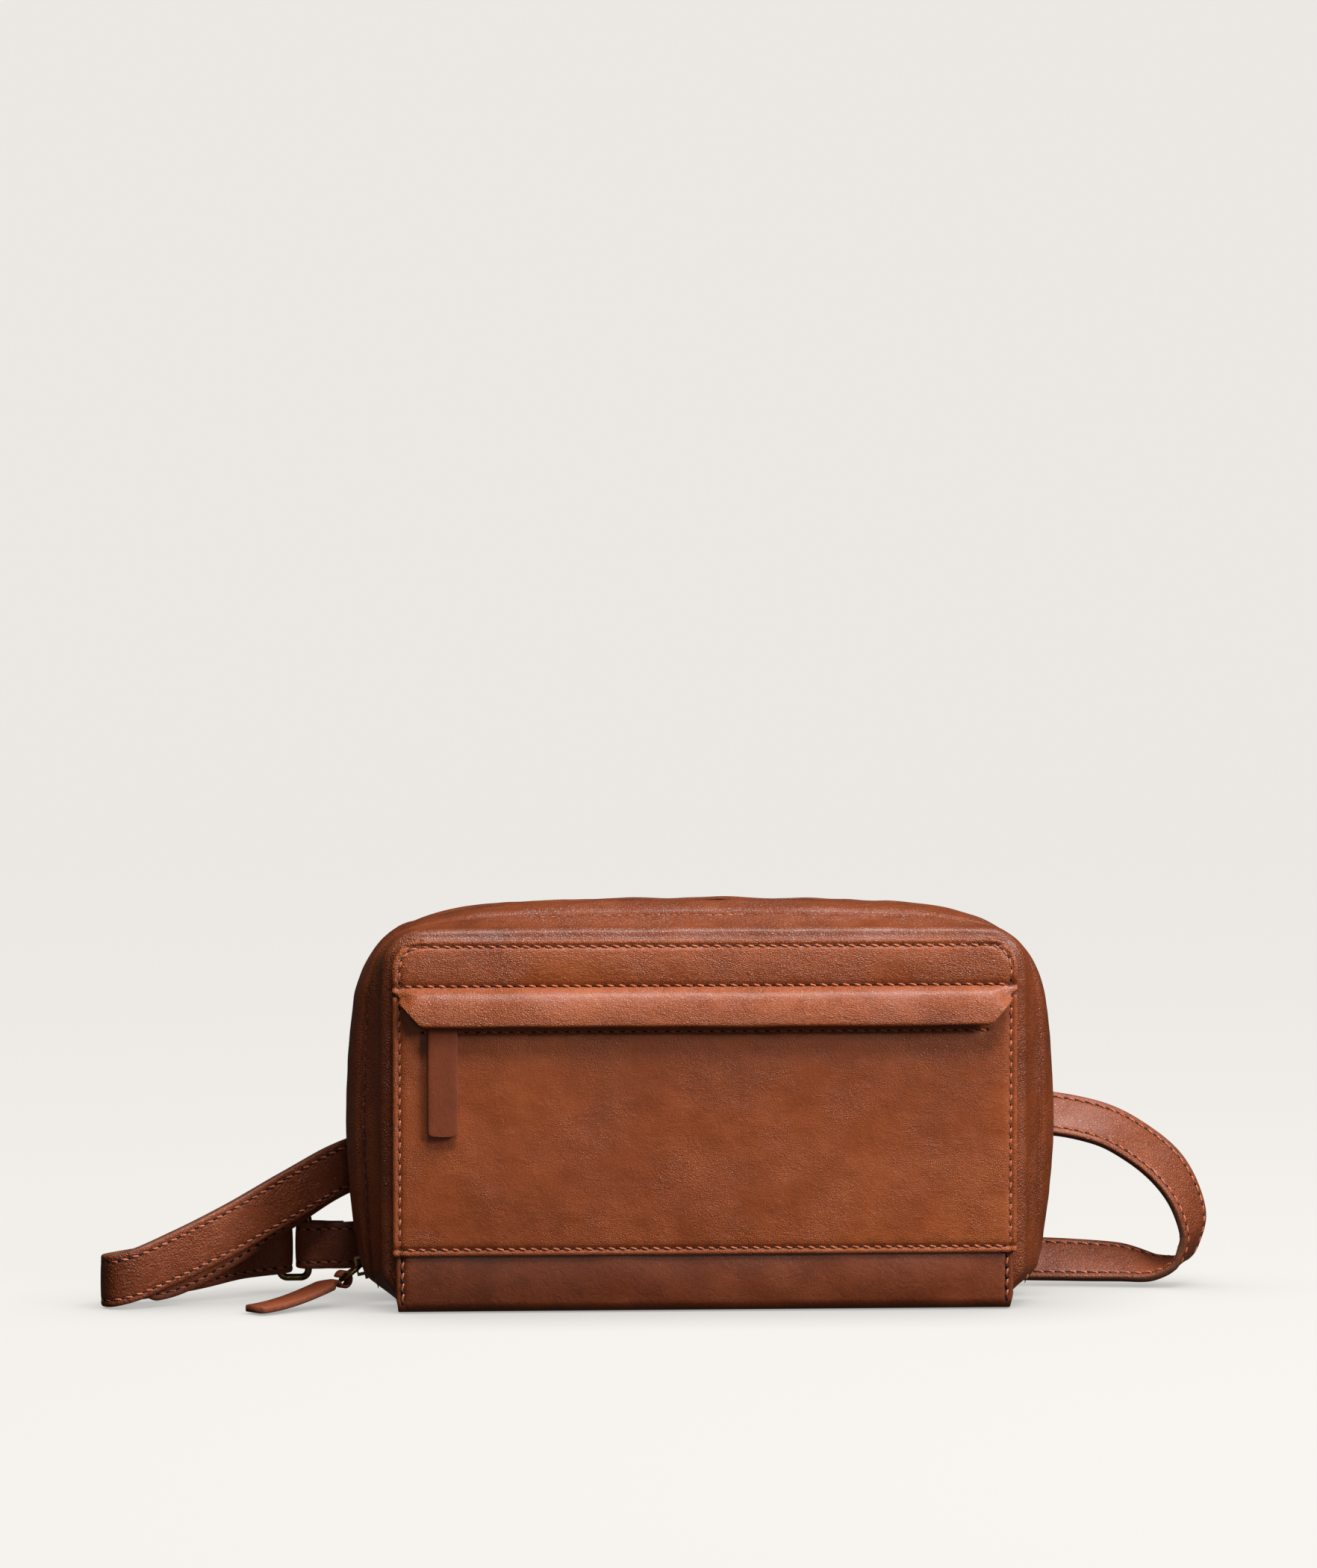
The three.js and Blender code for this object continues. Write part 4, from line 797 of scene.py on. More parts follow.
side_seam = PANEL_HALF - SEAM_IN
stitches("pocket_stitches", [
    face_row([(-side_seam, BAND_SEAM), (-side_seam, EAR_TOP)], pocket_relief),
    face_row([(side_seam, BAND_SEAM), (side_seam, EAR_TOP)], pocket_relief),
    face_row([(EAR + 1 - PANEL_HALF, ZIP_SEAM), (PANEL_HALF - EAR - 1, ZIP_SEAM)], pocket_relief),
    face_row([(-side_seam + 2, BAND_SEAM), (side_seam - 2, BAND_SEAM)], pocket_relief),
], "front_cover")

# ---------------------------------------------------------------- pocket flap
# The strip over the zip and the flap under it are one piece of leather: sewn along its top and sides,
# sewn again along the bend, and free below it, where it stands off the zip and its edge is turned under.
STRIP_BOX = packed_box("top_strip")
FLAP_BOX = packed_box("pocket_flap")
BEND_LINE = STRIP_BOX[0].z
FLAP_EDGE = FLAP_BOX[0].z
FLAP_OUT = FRONT_FACE - FLAP_BOX[0].y
FLAP_HALF = PANEL_HALF - 10
FLAP_IN = 2.4
FLAP_CHAMFER = 105.5
TURNED_EDGE = 1.1
flap_leather = leather(
    "flap_leather", (138, 64, 24), (154, 74, 29), (168, 86, 37), grain=0.9, pebble=0.9, crease=0.35,
    stretch=(1, 1, 1.5), gloss=0.36, coat=0.2)


def panel_half(z):
    """Half the width of a panel with rounded top corners, at a height."""
    corner = z - (PANEL_TOP - PANEL_CORNER)
    if corner <= 0:
        return PANEL_HALF
    return PANEL_HALF - PANEL_CORNER + math.sqrt(max(PANEL_CORNER**2 - corner**2, 0))


def strip_half(z):
    if z > BEND_LINE - 1:
        return panel_half(z)
    if z > FLAP_CHAMFER:
        return PANEL_HALF - FLAP_IN * step_up((BEND_LINE - 1 - z) / 2.5)
    cut_away = PANEL_HALF - FLAP_IN - FLAP_HALF
    return PANEL_HALF - FLAP_IN - cut_away * (FLAP_CHAMFER - z) / (FLAP_CHAMFER - FLAP_EDGE)


def strip_relief(x, z):
    swell = 0.45 * min(1, max(z - BEND_LINE, 0) / 5) * min(1, max(PANEL_TOP - SEAM_IN - z, 0) / 5)
    swell += 0.3 * ripple(x, 0, z, 22, 4) + 0.12 * ripple(x, 0, z, 6, 7)
    swell -= dip(z - BEND_LINE, 0.6, 1.1)
    if z > BEND_LINE - 1:
        half = strip_half(z)
        swell -= dip(z - PANEL_TOP + SEAM_IN)
        if z < PANEL_TOP - PANEL_CORNER:
            swell -= dip(abs(x) - half + SEAM_IN) + edge_fall(x, half)
        else:
            middle = (PANEL_HALF - PANEL_CORNER, PANEL_TOP - PANEL_CORNER)
            away = math.hypot(abs(x) - middle[0], z - middle[1])
            if abs(x) > middle[0]:
                swell -= dip(PANEL_CORNER - SEAM_IN - away) + edge_fall(away, PANEL_CORNER)
        swell -= edge_fall(z, PANEL_TOP)
    return swell


def flap_face(x, z):
    """How far the flap's face stands out of the panel's face."""
    drop = BEND_LINE - z
    out = FLAP_OUT * math.sin(min(drop / (BEND_LINE - FLAP_EDGE), 1) ** 0.72 * math.pi / 2)
    ends = 1 - 0.4 * step_up((abs(x) - PANEL_HALF + 7) / 7)
    # the side seam holds the corner down until the end of the flap is cut away from it
    ends *= 1 - (1 - step_up((PANEL_HALF - abs(x)) / 9)) * (1 - step_up((drop - 3) / 5))
    lift = 0.55 * ripple(x, 0, 0, 60, 11) * min(drop / 10, 1)
    return out * ends + lift + strip_relief(x, z)


def flap_shape():
    side = PANEL_HALF - SEAM_IN
    flap_x = np.array(spaced(-PANEL_HALF, PANEL_HALF, 1.3, side, -side)) / PANEL_HALF
    corner_rows = spaced(PANEL_TOP - PANEL_CORNER, PANEL_TOP, 0.9, PANEL_TOP - SEAM_IN)
    corner_rows += [PANEL_TOP - 0.08, PANEL_TOP - 0.3, PANEL_TOP - 0.6]
    rows = sorted(corner_rows, reverse=True)
    rows += spaced(BEND_LINE - 2, PANEL_TOP - PANEL_CORNER, 0.9, BEND_LINE)[-2::-1]
    rows += list(np.linspace(BEND_LINE - 2.6, FLAP_EDGE + TURNED_EDGE, 20))
    points = []
    for z in rows:
        half = strip_half(z)
        for u in flap_x:
            x = u * half
            out = flap_face(x, z) if z < BEND_LINE else strip_relief(x, z)
            points.append((x, FRONT_FACE - out, z))
    # the free edge is turned under in a half round
    for i in range(1, 9):
        turn = i / 8 * math.pi
        z = FLAP_EDGE + TURNED_EDGE
        half = strip_half(FLAP_EDGE)
        for u in flap_x:
            x = u * half
            wave = 0.35 * ripple(x, 1, 0, 26, 3)
            out = flap_face(x, z) - TURNED_EDGE * (1 - math.cos(turn))
            points.append((x, FRONT_FACE - out, z - TURNED_EDGE * math.sin(turn) + wave * math.sin(turn)))
    z = FLAP_EDGE + TURNED_EDGE
    for i in range(1, 7):
        for u in flap_x:
            x = u * strip_half(z + i)
            out = flap_face(x, z + i) - 2 * TURNED_EDGE
            points.append((x, FRONT_FACE - out, z + i))
    return mesh_piece("pocket_flap_leather", points, grid_faces(len(rows) + 14, len(flap_x), flip=True))


flap = flap_shape()
finish_piece(flap, None, "tan_leather", [flap_leather], "top_strip", "pocket_flap")
thicken(flap, 0.8, raw_edge, 0.2)
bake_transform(flap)

strip_seam = [(-side_seam, BEND_LINE + 2)]
SEAM_ROUND = PANEL_CORNER - SEAM_IN
for i in range(13):
    turn = math.pi - i / 12 * math.pi / 2
    strip_seam.append((
        PANEL_CORNER - PANEL_HALF + SEAM_ROUND * math.cos(turn),
        PANEL_TOP - PANEL_CORNER + SEAM_ROUND * math.sin(turn)))
strip_seam += [(-x, z) for x, z in strip_seam[::-1]]
stitches("strip_stitches", [
    face_row(strip_seam, strip_relief),
    face_row([(-PANEL_HALF + 3.4, BEND_LINE + 0.35), (PANEL_HALF - 3.4, BEND_LINE + 0.35)], strip_relief),
], "front_cover")

# ---------------------------------------------------------------- bottom band and base
# One darker piece of leather comes out from under the pocket panel, turns round the lower edge and makes
# the base.
BAND_BOX = packed_box("bottom_band")
BASE_BOX = packed_box("base_panel")
BAND_ROUND = 4.2
BAND_HALF = PANEL_HALF - 1
band_leather = leather(
    "band_leather", (96, 42, 16), (116, 52, 20), (132, 63, 28), grain=0.5, pebble=0.4, crease=0.2,
    gloss=0.36, coat=0.2)


def band_line():
    """The piece's run, in Y and Z, from under the pocket panel to the back edge of the base."""
    face = BAND_BOX[0].y
    run = []
    for i in range(15):
        t = i / 14
        z = BAND_BOX[1].z + (BAND_ROUND - BAND_BOX[1].z) * t
        run.append((face - 1.5 * math.sin(math.pi * min(t * 0.62 + 0.1, 1)) + 0.46, z))
    y0 = run[-1][0]
    for i in range(1, 10):
        turn = i / 9 * math.pi / 2
        run.append((y0 + BAND_ROUND * (1 - math.cos(turn)), BAND_ROUND * (1 - math.sin(turn))))
    for y in np.linspace(y0 + BAND_ROUND, BASE_BOX[1].y, 26)[1:]:
        run.append((y, 0))
    return run


bottom_run = band_line()


def band_shape():
    run = bottom_run
    columns = np.array(spaced(-BAND_HALF, BAND_HALF, 1.6, BAND_HALF - SEAM_IN, SEAM_IN - BAND_HALF))
    points = []
    for k, (y, z) in enumerate(run):
        before, after = run[max(k - 1, 0)], run[min(k + 1, len(run) - 1)]
        along = Vector((after[0] - before[0], after[1] - before[1])).normalized()
        out = (along.y, -along.x)
        upright = step_up((z - 0.5) / 5)
        for x in columns:
            squeeze = 1 - (1 - upright) * 0.008
            swell = upright * (0.4 * ripple(x, 0, z, 20, 8) - dip(abs(x) - BAND_HALF + SEAM_IN))
            swell -= upright * edge_fall(x, BAND_HALF)
            points.append((x * squeeze, y + out[0] * swell, max(z + out[1] * swell, 0)))
    return mesh_piece("bottom_leather", points, grid_faces(len(run), len(columns), flip=True))


bottom = band_shape()
finish_piece(bottom, None, "dark_leather", [band_leather], "bottom_band", "base_panel")
thicken(bottom, LEATHER - 0.2, raw_edge, 0.3)
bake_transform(bottom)
band_rows = []
for side in (-1, 1):
    x = side * (BAND_HALF - SEAM_IN)
    line = [(x, y + 0.35, z) for y, z in bottom_run if BAND_ROUND - 1 < z < BAND_SEAM - 2.5]
    band_rows.append((line, [(0, -1, 0)] * len(line)))
stitches("band_stitches", band_rows, "front_cover")

# ---------------------------------------------------------------- back panel and its padding
# A plain leather panel backed with thin foam lies against the wearer. It is sewn round its edge.
BACK_FACE = PANEL_BOX[1].y
PANEL_FOOT = PANEL_BOX[0].z


def back_relief(x, z):
    half = panel_half(z)
    edge = min(half - abs(x), PANEL_TOP - z, z - PANEL_FOOT)
    if abs(x) > PANEL_HALF - PANEL_CORNER and z > PANEL_TOP - PANEL_CORNER:
        edge = PANEL_CORNER - math.hypot(abs(x) - PANEL_HALF + PANEL_CORNER, z - PANEL_TOP + PANEL_CORNER)
    swell = -dip(edge - SEAM_IN, 0.4) - 0.4 * math.exp(-max(edge, 0) / 0.7)
    return swell - 0.12 + 0.12 * ripple(x, 4, z, 25, 6)


def upright_panel(name, half_at, low, high, face_at, toward, step=1.5):
    """A sheet with rounded top corners, standing in X and Z."""
    levels = list(np.arange(low, high - PANEL_CORNER, step))
    levels += [high - PANEL_CORNER * (1 - math.sin(i / 10 * math.pi / 2)) for i in range(11)]
    across = np.linspace(-1, 1, int(2 * PANEL_HALF / step))
    points = [(u * half_at(z), face_at(u * half_at(z), z), z) for z in levels for u in across]
    return mesh_piece(name, points, grid_faces(len(levels), len(across), flip=toward > 0))


back = upright_panel(
    "back_leather", panel_half, PANEL_FOOT, PANEL_TOP, lambda x, z: BACK_FACE + back_relief(x, z), 1)
finish_piece(back, "pack_back", "tan_leather", [front_leather], "back_panel")
thicken(back, 1.1, raw_edge, 0.25)


def back_row(stops):
    return face_row(stops, lambda x, z: FRONT_FACE - BACK_FACE - back_relief(x, z), (0, 1, 0))


back_seam = [(-side_seam, PANEL_FOOT + SEAM_IN), *strip_seam, (side_seam, PANEL_FOOT + SEAM_IN)]
stitches("back_stitches", [
    back_row(back_seam),
    back_row([(-side_seam + 2, PANEL_FOOT + SEAM_IN), (side_seam - 2, PANEL_FOOT + SEAM_IN)]),
], "pack_back")


cells = Finish("foam", Specular_IOR_Level=0.2)
bubbles = cells.add("TexVoronoi", {"Vector": cells.place(), "Scale": 1400}, "Distance")
foam = cells.done(
    Base_Color=cells.ramp(bubbles, (0, linear(40, 40, 42)), (1, linear(86, 86, 88))),
    Roughness=cells.spread(bubbles, 0.95, 0.8), Normal=cells.bump(bubbles, 0.3))
FOAM_BOX = packed_box("back_padding")


def foam_half(z):
    return panel_half(z + PANEL_TOP - FOAM_BOX[1].z) - (PANEL_HALF - FOAM_BOX[1].x)


def foam_face(x, z):
    edge = min(foam_half(z) - abs(x), FOAM_BOX[1].z - z, z - FOAM_BOX[0].z)
    return FOAM_BOX[1].y - 1.0 * math.exp(-max(edge, 0) / 2.5) - 0.15 * (1 + ripple(x, 2, z, 18, 12))


pad = upright_panel("foam_pad", foam_half, FOAM_BOX[0].z, FOAM_BOX[1].z, foam_face, 1, 2.4)
finish_piece(pad, "pack_back", "foam", [foam], "back_padding")
thicken(pad, FOAM_BOX[1].y - FOAM_BOX[0].y - 1.4, rounding=0.5)

# ---------------------------------------------------------------- linings
# Twill cotton lines both halves and the base, and a slip pocket with a turned hem is sewn on the back
# lining. Stiff board lies under the base lining and behind the pocket's leather.
CLOTH = 0.36
lining_cloth = woven("lining_twill", (150, 122, 92), (204, 178, 142), 0.4)


def lining_wall(name, node, body, toward):
    low, high = packed_box(node)
    face = high.y if toward > 0 else low.y

    def half_at(z):
        return panel_half(z + PANEL_TOP - high.z) - (PANEL_HALF - high.x)

    def face_at(x, z):
        return face - toward * 0.14 * (1 + ripple(x, 0, z, 19, 14 + toward))

    piece = upright_panel(name, half_at, low.z, high.z, face_at, toward, 2.0)
    finish_piece(piece, body, "lining_cloth", [lining_cloth], node)
    thicken(piece, CLOTH, rounding=0)


lining_wall("lining_back", "back_lining", "pack_back", -1)
lining_wall("lining_front", "front_lining", "front_cover", 1)


floor_low, floor_high = packed_box("base_lining")
floor_x = np.linspace(floor_low.x, floor_high.x, 90)
floor_y = np.linspace(floor_low.y, floor_high.y, 26)
floor_points = []
for y in floor_y:
    floor_points += [(x, y, floor_high.z - 0.14 * (1 + ripple(x, y, 0, 17, 15))) for x in floor_x]
floor_cloth = mesh_piece("lining_base", floor_points, grid_faces(len(floor_y), len(floor_x)))
finish_piece(floor_cloth, "pack_back", "lining_cloth", [lining_cloth], "base_lining")
thicken(floor_cloth, CLOTH, rounding=0)

SLIP_BOX = packed_box("slip_pocket")


def slip_shape():
    half = SLIP_BOX[1].x
    room = SLIP_BOX[1].y - SLIP_BOX[0].y
    us = np.linspace(-1, 1, 90)
    levels = list(np.linspace(SLIP_BOX[0].z, SLIP_BOX[1].z, 44))
    points = []
    for z in levels:
        for u in us:
            x = u * half
            rise = step_up((z - SLIP_BOX[0].z) / 11)
            out = 0.4 + (room - 0.7) * rise * step_up((half - abs(x)) / 9)
            out -= 0.3 * (1 + ripple(x, 0, z, 24, 16)) * rise * step_up((half - abs(x)) / 9)
            points.append((x, SLIP_BOX[1].y - out, z))
    # the hem turns over at the mouth
    for i in range(1, 7):
        turn = i / 6 * math.pi
        fall = 0 if i < 6 else 6
        for k, u in enumerate(us):
            x = u * half
            y = points[(len(levels) - 1) * len(us) + k][1]
            y += 0.5 * (1 - math.cos(turn)) * step_up((half - abs(x)) / 9)
            points.append((x, y, SLIP_BOX[1].z - 0.3 + 0.3 * math.sin(turn) - fall))
    return mesh_piece("slip_pouch", points, grid_faces(len(levels) + 6, len(us)))


slip = slip_shape()
finish_piece(slip, "pack_back", "lining_cloth", [lining_cloth], "slip_pocket")
thicken(slip, 0.35, rounding=0)
board = woven("stiffener_board_grey", (112, 98, 78), (150, 134, 108), 0.9)


def dress(node, material, rounding=0.0):
    """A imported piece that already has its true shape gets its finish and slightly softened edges."""
    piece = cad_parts[node]
    piece.data.materials.clear()
    piece.data.materials.append(material)
    if rounding:
        round_off(piece, rounding, 40)
    return piece


dress("pocket_lining", lining_cloth)
dress("base_stiffener", board, 0.3)
dress("front_backing", board, 0.3)

# ---------------------------------------------------------------- pocket zip
# A straight brass zip lies behind the slit over the pocket panel, with a stop at each end.
# Its slider is parked at the left end, and a swivel on the slider carries a leather pull.
POCKET_ZIP = PANEL_TOP - 24.5
for word, sign, phase in (("lower", -1, 0), ("upper", 1, 1)):
    dress(f"pocket_zip_tape_{word}", tape_cloth, 0.15)
    low, high = packed_box(f"pocket_zip_teeth_{word}")
    xs = np.linspace(low.x + 1, high.x - 1, 60)
    rail = [(x, (low.y + high.y) / 2, POCKET_ZIP) for x in xs]
    tooth_row(
        f"pocket_teeth_{word}", rail, [(0, -1, 0)] * len(xs), (0, 0, sign),
        f"pocket_zip_teeth_{word}", "front_cover", phase)
for word in ("left", "right"):
    dress(f"pocket_zip_stop_{word}", brass, 0.35)
dress("pocket_slider", brass, 0.3)


def wire(name, node, body, line, radius, sides):
    """A closed loop of round brass wire along a flat line of points."""
    line = np.asarray(line, float)
    count = len(line)
    along = np.roll(line, -1, axis=0) - np.roll(line, 1, axis=0)
    along /= np.linalg.norm(along, axis=1)[:, None]
    flat = np.linalg.svd(line - line.mean(axis=0))[2][2]
    points, faces = [], []
    for p, a in zip(line, along):
        beside = np.cross(flat, a)
        beside /= np.linalg.norm(beside)
        for m in range(sides):
            turn = m / sides * 2 * math.pi
            points.append(p + radius * (beside * math.cos(turn) + flat * math.sin(turn)))
    for i in range(count):
        for m in range(sides):
            p, q = i * sides + m, i * sides + (m + 1) % sides
            r, s = (i + 1) % count * sides + (m + 1) % sides, (i + 1) % count * sides + m
            faces.append((p, q, r, s))
    piece = mesh_piece(name, points, faces)
    face_out(piece)
    finish_piece(piece, body, "antique_brass", [brass], node)


dress("pocket_pull_link", brass, 0.15)

# The pull is two layers of leather, turned over the link's bar and glued, with its cut edges left pale.
PULL_BOX = packed_box("pocket_pull")
pull_leather = leather(
    "pull_leather", (112, 50, 20), (128, 58, 25), (142, 68, 32), grain=0.5, pebble=0.3, crease=0.12,
    gloss=0.55, coat=0.04)


def pull_shape():
    low, high = PULL_BOX
    middle = (low.x + high.x) / 2
    half = (high.x - low.x) / 2
    corner = 1.5
    thick = 1.95
    top = high.z
    outline = []
    for i in range(7):
        turn = i / 6 * math.pi / 2
        outline.append((half - corner + corner * math.sin(turn), low.z + corner - corner * math.cos(turn)))
    heights = list(np.linspace(low.z + corner + 1, top - 1.2, 24))
    half_line = outline + [(half, z) for z in heights]
    rows = [(z, w) for w, z in half_line] + [(top - 0.5, half), (top, half)]
    us = np.linspace(-1, 1, 11)
    centre = (low.y + high.y) / 2 - 0.05
    points = []
    for face in (-1, 1):
        for z, w in rows:
            # the top is pinched round the bar, and the crease under it shows where the two layers meet
            fat = thick / 2 * (1 + 0.25 * math.exp(-(((z - top + 1.5) / 1.6) ** 2)))
            fat -= 0.28 * math.exp(-(((z - top + 4.2) / 0.5) ** 2))
            if z > top - 0.4:
                fat *= 0.55
            for u in us:
                edge = 1 - 0.16 * abs(u) ** 8
                y = centre + face * fat * edge + 0.08 * ripple(u * w, 0, z, 9, 17)
                points.append((middle + u * w, y, z))
    n, c = len(rows), len(us)
    faces = grid_faces(n, c) + [tuple(i + n * c for i in f)[::-1] for f in grid_faces(n, c)]
    marks = [0] * len(faces)
    ring = [j for j in range(c)] + [i * c + c - 1 for i in range(1, n)]
    ring += [(n - 1) * c + j for j in range(c - 2, -1, -1)] + [i * c for i in range(n - 2, 0, -1)]
    for a, b in zip(ring, ring[1:] + ring[:1]):
        faces.append((b, a, a + n * c, b + n * c))
        marks.append(1)
    piece = mesh_piece("pocket_pull_leather", points, faces)
    piece.data.polygons.foreach_set("material_index", marks)
    return piece


pull = pull_shape()
round_off(pull, 0.22)
finish_piece(pull, "zip_pull", "pull_leather", [pull_leather, raw_edge], "pocket_pull")

# ---------------------------------------------------------------- main slider, ring and pull
# The slider is a casting with a bail on its outside. A round wire ring hangs from the bail and leans out,
# and the leather pull is looped through the ring and droops until its end touches the table.
dress("main_slider", brass, 0.3)
RING_BOX = packed_box("main_pull_link")
RING_WIRE = 0.75
RING_TURN = math.radians(36)
ring_middle = (RING_BOX[0] + RING_BOX[1]) / 2
ring_radius = (RING_BOX[1].y - RING_BOX[0].y) / 2 - RING_WIRE
ring_line = []
for i in range(48):
    turn = i / 48 * 2 * math.pi
    out = ring_radius * math.cos(turn)
    ring_line.append((
        ring_middle.x + out * math.cos(RING_TURN), ring_middle.y + ring_radius * math.sin(turn),
        ring_middle.z + out * math.sin(RING_TURN)))
wire("main_pull_ring", "main_pull_link", "main_ring", ring_line, RING_WIRE, 12)

PULL_TURN = math.radians(40)
PULL_THICK = 2.2
PULL_REACH = 40
EYE_RADIUS = 2.6
EYE_THICK = 1.0
NECK_HALF = 1.7
PULL_HALF = 5
eye = Vector((
    ring_middle.x - ring_radius * math.cos(RING_TURN) * math.cos(PULL_TURN),
    ring_middle.y - ring_radius * math.sin(PULL_TURN),
    ring_middle.z - ring_radius * math.sin(RING_TURN) * math.cos(PULL_TURN)))


def main_pull_shape():
    """The pull's side view is swept across its width: it loops round the ring, then runs out and droops."""
    profile = []
    for i in range(22):
        turn = math.radians(20 + i / 21 * 316)
        profile.append((EYE_RADIUS * math.cos(turn), EYE_RADIUS * math.sin(turn), EYE_THICK, NECK_HALF))
    drop = PULL_THICK / 2 + 0.5 - eye.z
    for i in range(34):
        t = (i + 1) / 34
        x = EYE_RADIUS + (PULL_REACH - EYE_RADIUS) * t
        y = -0.15 + (drop + 0.15) * math.sin(t * math.pi / 2)
        width = NECK_HALF + (PULL_HALF - NECK_HALF) * step_up((x - 4.0) / 4.2)
        thick = EYE_THICK + (PULL_THICK - EYE_THICK) * step_up((x - EYE_RADIUS) / 3)
        profile.append((x, y, thick, width * min(1, 0.8 + (1 - t) * 6)))
    points, faces, marks = [], [], []
    section = [(-1, -0.6), (-0.94, -1), (0, -1), (0.94, -1), (1, -0.6)]
    section += [(-a, -b) for a, b in section]
    for k, (x, y, thick, width) in enumerate(profile):
        before, after = profile[max(k - 1, 0)], profile[min(k + 1, len(profile) - 1)]
        along = Vector((after[0] - before[0], after[1] - before[1])).normalized()
        for a, b in section:
            px, py = x - along.y * b * thick / 2, y + along.x * b * thick / 2
            side = a * width
            points.append((
                eye.x - px * math.cos(PULL_TURN) + side * math.sin(PULL_TURN),
                eye.y - px * math.sin(PULL_TURN) - side * math.cos(PULL_TURN),
                max(eye.z + py, 0.15)))
    n = len(section)
    for k in range(len(profile) - 1):
        for m in range(n):
            p, q = k * n + m, k * n + (m + 1) % n
            faces.append((p, p + n, q + n, q))
            marks.append(1 if m in (4, 9) else 0)
    faces += [tuple(range(n)), tuple((len(profile) - 1) * n + m for m in range(n))[::-1]]
    marks += [1, 1]
    piece = mesh_piece("main_pull_strip", points, faces)
    face_out(piece)
    piece.data.polygons.foreach_set("material_index", marks)
    return piece


pull_edge = leather_edge("pull_edge", (140, 74, 48))
finish_piece(main_pull_shape(), "main_leather_pull", "pull_leather", [pull_leather, pull_edge], "main_pull")

# ---------------------------------------------------------------- belt ring and left strap
# The left strap is three layers of leather bonded together, stitched along both edges, with painted edges.
# A short tab sewn on the back panel holds a brass ring, and the strap is folded round the ring's far bar.
HALF_WIDTH = PANEL_HALF + 15
STRAP_WIDTH = 17.5
STRAP = 3
LAYER = STRAP + 0.4
BELT_HEIGHT = 50
BELT_WIRE = 1.25
BUCKLE_WIRE = 1.1
BEHIND = HALF_DEPTH + 0.3 + STRAP / 2
BELT_Y = BEHIND + 6.7
LOW = STRAP_WIDTH / 2 + 0.35
UP = (0, 0, 1)


def loop_line(node, wire_radius, corner=2.6):
    """The middle line of an upright wire loop with rounded corners, told by its packed box."""
    low, high = packed_box(node)
    y = (low.y + high.y) / 2
    left, right = low.x + wire_radius, high.x - wire_radius
    bottom, top = low.z + wire_radius, high.z - wire_radius
    line = []
    turns = ((right, top, 0), (left, top, 1), (left, bottom, 2), (right, bottom, 3))
    for x, z, quarter in turns:
        centre_x = x - corner if x == right else x + corner
        centre_z = z - corner if z == top else z + corner
        for i in range(9):
            angle = (quarter + i / 8) * math.pi / 2
            line.append((centre_x + corner * math.cos(angle), y, centre_z + corner * math.sin(angle)))
    full = []
    for a, b in zip(line, line[1:] + line[:1]):
        pieces = max(int(math.dist(a, b) / 1.5), 1)
        full += [tuple(np.array(a) + (np.array(b) - np.array(a)) * i / pieces) for i in range(pieces)]
    return full


wire("belt_loop", "belt_ring", "pack_back", loop_line("belt_ring", BELT_WIRE), BELT_WIRE, 14)


def smooth_path(stops, step=1.0):
    """Points along a smooth path through the stops, with the direction of the strap's width at each."""
    stops = np.array(stops, float)
    ends = np.vstack([2 * stops[0] - stops[1], stops, 2 * stops[-1] - stops[-2]])
    middle, across = [], []
    for k in range(len(stops) - 1):
        p0, p1, p2, p3 = ends[k:k + 4]
        gaps = [max(np.linalg.norm(b[:3] - a[:3]) ** 0.5, 1e-3) for a, b in ((p0, p1), (p1, p2), (p2, p3))]
        t1 = (p1 - p0) / gaps[0] - (p2 - p0) / (gaps[0] + gaps[1]) + (p2 - p1) / gaps[1]
        t2 = (p2 - p1) / gaps[1] - (p3 - p1) / (gaps[1] + gaps[2]) + (p3 - p2) / gaps[2]
        t1, t2 = t1 * gaps[1], t2 * gaps[1]
        u1, u2 = (p2 - p0) / 2, (p3 - p1) / 2
        count = max(int(math.dist(p1[:3], p2[:3]) / step), 2)
        for t in np.arange(count) / count:
            a, b, c, d = 2 * t**3 - 3 * t**2 + 1, t**3 - 2 * t**2 + t, 3 * t**2 - 2 * t**3, t**3 - t**2
            middle.append((a * p1 + b * t1 + c * p2 + d * t2)[:3])
            across.append((a * p1 + b * u1 + c * p2 + d * u2)[3:])
    middle.append(stops[-1][:3])
    across.append(stops[-1][3:])
    middle, across = np.array(middle), np.array(across)
    along = np.gradient(middle, axis=0)
    along /= np.linalg.norm(along, axis=1)[:, None]
    across -= along * (across * along).sum(axis=1)[:, None]
    across /= np.linalg.norm(across, axis=1)[:, None]
    return middle, across, np.cross(along, across)


STRAP_SEAM = 2.2
TIP = 7
EDGE_BULGE = 0.18
EDGE_FLAT = 0.45


def strap_columns(half):
    """Distances in from a strap's edge and how much each lies under full thickness."""
    columns = []
    seam = (STRAP_SEAM - 0.3, STRAP_SEAM, STRAP_SEAM + 0.3)
    for d in (0, 0.25, 0.6, 1.1, 1.6, *seam, 2.9, 3.8, 5.4, 7.2, half):
        low = 0.42 * math.exp(-d / 0.4) + dip(d - STRAP_SEAM, 0.24, 0.5) - 0.1 * step_up((d - 2.4) / 5)
        columns.append((d, low))
    return [(d - half, s) for d, s in columns] + [(half - d, s) for d, s in columns[-2::-1]]


